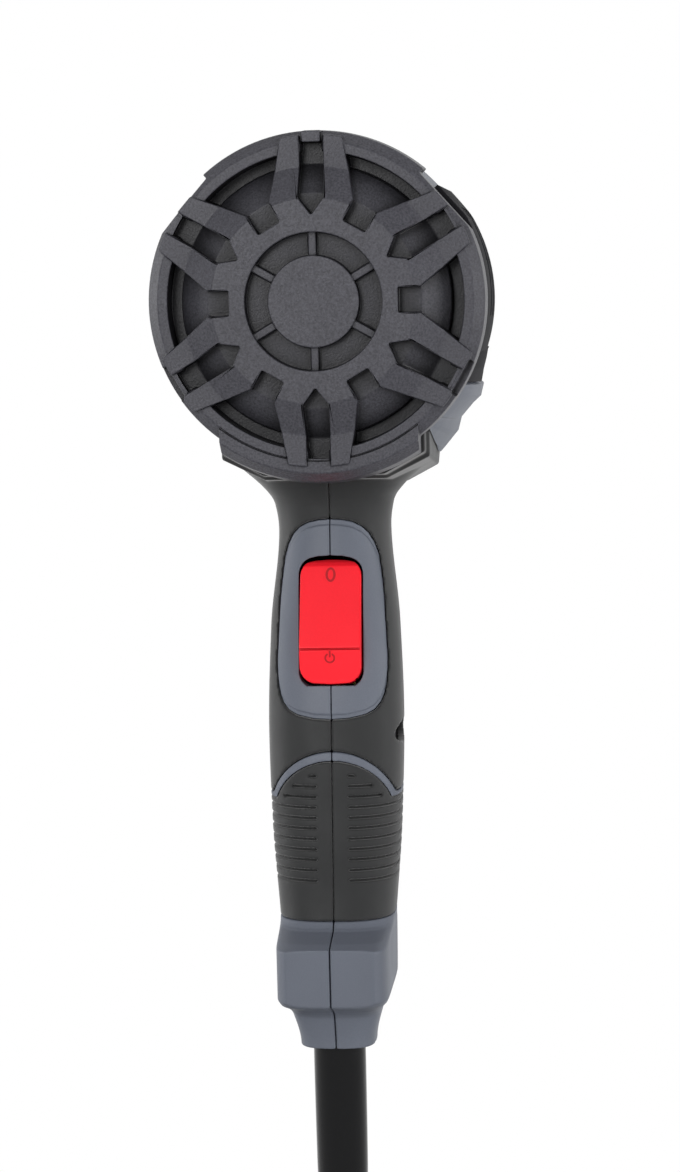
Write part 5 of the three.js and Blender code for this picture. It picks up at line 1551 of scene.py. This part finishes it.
def make_guard():
    start = BARREL_LENGTH + 2 * CLEARANCE + FLANGE_THICKNESS
    end = start + GUARD_LENGTH
    outer = SHOULDER - 0.8
    lip = NOZZLE_RADIUS + 1.6
    neck = outer - GUARD_NECK_INSET
    guard = turned([
        (lip, start - FLANGE_THICKNESS), (neck, start - FLANGE_THICKNESS), (neck, start), (outer, start),
        (outer, start + 5), (outer - 1.2, start + 8), (outer - 6.6, end - 4), (outer - 7.6, end), (lip, end),
        (lip, end - 2.4), (outer - 9.4, end - 4), (outer - 3, start + 2.6), (lip, start + 2.6)])
    slot = block((lip + 5, 60), (start + 9, end - 6), (-GUARD_SLOT_HALF, GUARD_SLOT_HALF))
    rounded(slot, 1.6, 4, 30)
    phase = -2 * math.pi * 0.25 / GUARD_SLOTS
    cut(guard, patterned(slot, "round pattern", Count=GUARD_SLOTS, Phase=phase))
    rounded(welded(guard, 0.04), 0.4, 2, 35)
    placed(guard, "heat_guard", finish("guard plastic"), nodes=("front_guard",))


def make_nozzle():
    inner = NOZZLE_RADIUS - NOZZLE_WALL
    flange = BARREL_LENGTH + CLEARANCE
    bead = arc((NOZZLE_RADIUS, NOZZLE_END - 1.7), (0.7, 1.2), -math.pi / 2, math.pi / 2, 10)
    nozzle = turned([
        (inner, NOZZLE_START), (NOZZLE_RADIUS, NOZZLE_START), (NOZZLE_RADIUS, flange),
        (FLANGE_RADIUS, flange), (FLANGE_RADIUS, flange + FLANGE_THICKNESS),
        (NOZZLE_RADIUS, flange + FLANGE_THICKNESS), *bead, (NOZZLE_RADIUS, NOZZLE_END - 0.2),
        (NOZZLE_RADIUS - 0.2, NOZZLE_END), (inner, NOZZLE_END)])
    placed(nozzle, "nozzle", finish("nozzle steel"), nodes=("nozzle_tube",), sharp=40)


def make_heater():
    seed = bench("winding", [(0, 0, 0)], [])
    margin = 6
    winding = patterned(
        seed, "heater winding", Turns=10.0, Radius=HEATER_RADIUS + HEATER_WIRE + CLEARANCE,
        Length=HEATER_END - HEATER_START - 2 * margin, Wire=HEATER_WIRE,
        Start=(0.0, HEATER_START + margin, 0.0))
    placed(winding, "heater_winding", finish("heater wire"), nodes=("heating_coil",),
           sharp=0)


def make_sleeve():
    end = OUTLET_DROP + SLEEVE_LENGTH
    seat = FOOT_DROP + FOOT_HEIGHT - 1 - CLEARANCE
    bore = LEAD / 2 + CLEARANCE
    taper = [(SLEEVE_RADIUS, seat + 2), (SLEEVE_RADIUS, OUTLET_DROP + 4),
             (SLEEVE_RADIUS - 0.15, OUTLET_DROP + 34), (SLEEVE_TIP, end - 1.2)]
    outside = fair(taper, 2.0)
    sleeve = turned([
        (bore, -end), (5.3, -end), (5.8, -end + 0.4), *[(r, -y) for r, y in reversed(outside)],
        (SLEEVE_RADIUS, -seat), (SLEEVE_FLANGE, -seat), (SLEEVE_FLANGE, -seat + SLEEVE_FLANGE_HEIGHT),
        (bore, -seat + SLEEVE_FLANGE_HEIGHT)], 96, axis="Z", at=(0, OUTLET_Y, 0))
    placed(sleeve, "strain_relief", finish("lead rubber"), nodes=("cord_sleeve",))


def make_screws():
    """Cross-head screws in their recesses, one mesh for each"""
    for name, y, z, face in SCREWS:
        seat = face + CLEARANCE
        head = rod(SCREW_HEAD, seat, seat + SCREW_HEAD_HEIGHT, (y, z), "X", 40)
        rounded(head, 0.5, 3, 40)
        arms = [block((seat + 1.1, seat + 6), (y - a, y + a), (z - b, z + b))
                for a, b in (SCREW_CROSS, reversed(SCREW_CROSS))]
        shank = rod(SCREW_SHANK, seat - SCREW_LENGTH, seat + 0.5, (y, z), "X", 24)
        cut(join(head, shank), *arms)
        placed(head, name.replace("housing_", "") + "_head", finish("plain steel"), nodes=(name,),
               sharp=30)


CARRIED_OVER = {
    "mica_tube": "mica", "mica_core": "mica", "heater_base": "nylon", "thermal_fuse": "plain steel",
    "blower_duct": "nylon", "motor_can": "plain steel", "motor_end_bell": "nylon", "rear_bearing": "brass",
    "front_bearing": "brass", "rectifier_board": "circuit board", "motor_shaft": "plain steel",
    "armature": "plain steel", "commutator": "brass", "fan": "nylon", "rocker_pin": "plain steel",
    "switch_body": "guard plastic", "switch_terminal_1": "brass", "switch_terminal_2": "brass",
    "switch_terminal_3": "brass", "cord_clamp": "nylon", "clamp_screw_1": "plain steel",
    "clamp_screw_2": "plain steel", "inner_lead": "lead rubber",
}


class HOTAIR_OT_nozzle(bpy.types.Operator):
    """Make the guard, the steel nozzle, the heater's winding and the lead's sleeve"""
    bl_idname = "hotair.nozzle"
    bl_label = "Guard, nozzle and sleeve"

    def execute(self, context):
        make_guard()
        make_nozzle()
        make_heater()
        make_sleeve()
        return {"FINISHED"}


class HOTAIR_OT_fittings(bpy.types.Operator):
    """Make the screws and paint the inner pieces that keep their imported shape"""
    bl_idname = "hotair.fittings"
    bl_label = "Screws and inner pieces"

    def execute(self, context):
        make_screws()
        for node, look in CARRIED_OVER.items():
            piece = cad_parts[node]
            for slot in piece.material_slots:
                slot.material = finish(look)
        return {"FINISHED"}


class HOTAIR_PT_panel(bpy.types.Panel):
    """Lists the steps that make the tool"""
    bl_label = "Hot air tool"
    bl_idname = "HOTAIR_PT_panel"
    bl_space_type = "VIEW_3D"
    bl_region_type = "UI"
    bl_category = "Hot air tool"

    def draw(self, context):
        for step in STEPS:
            self.layout.operator(step)
        for group in (context.scene.hot_air_sizes, context.scene.hot_air_colours):
            for label in group.bl_rna.properties.keys():
                if label not in ("rna_type", "name"):
                    self.layout.prop(group, label)


STEPS = ("hotair.stage", "hotair.lead", "hotair.rear_cap", "hotair.handle", "hotair.barrel", "hotair.switch",
         "hotair.nozzle", "hotair.fittings")
CLASSES = (HotAirSizes, HotAirColours, HOTAIR_OT_stage, HOTAIR_OT_lead, HOTAIR_OT_rear_cap, HOTAIR_OT_handle,
           HOTAIR_OT_barrel, HOTAIR_OT_switch, HOTAIR_OT_nozzle, HOTAIR_OT_fittings, HOTAIR_PT_panel)


def register():
    for item in CLASSES:
        bpy.utils.register_class(item)
    bpy.types.Scene.hot_air_sizes = PointerProperty(type=HotAirSizes)
    bpy.types.Scene.hot_air_colours = PointerProperty(type=HotAirColours)


def unregister():
    del bpy.types.Scene.hot_air_colours
    del bpy.types.Scene.hot_air_sizes
    for item in reversed(CLASSES):
        bpy.utils.unregister_class(item)


def main():
    register()
    for step in STEPS:
        area, name = step.split(".")
        getattr(getattr(bpy.ops, area), name)()


if __name__ == "__main__":
    main()
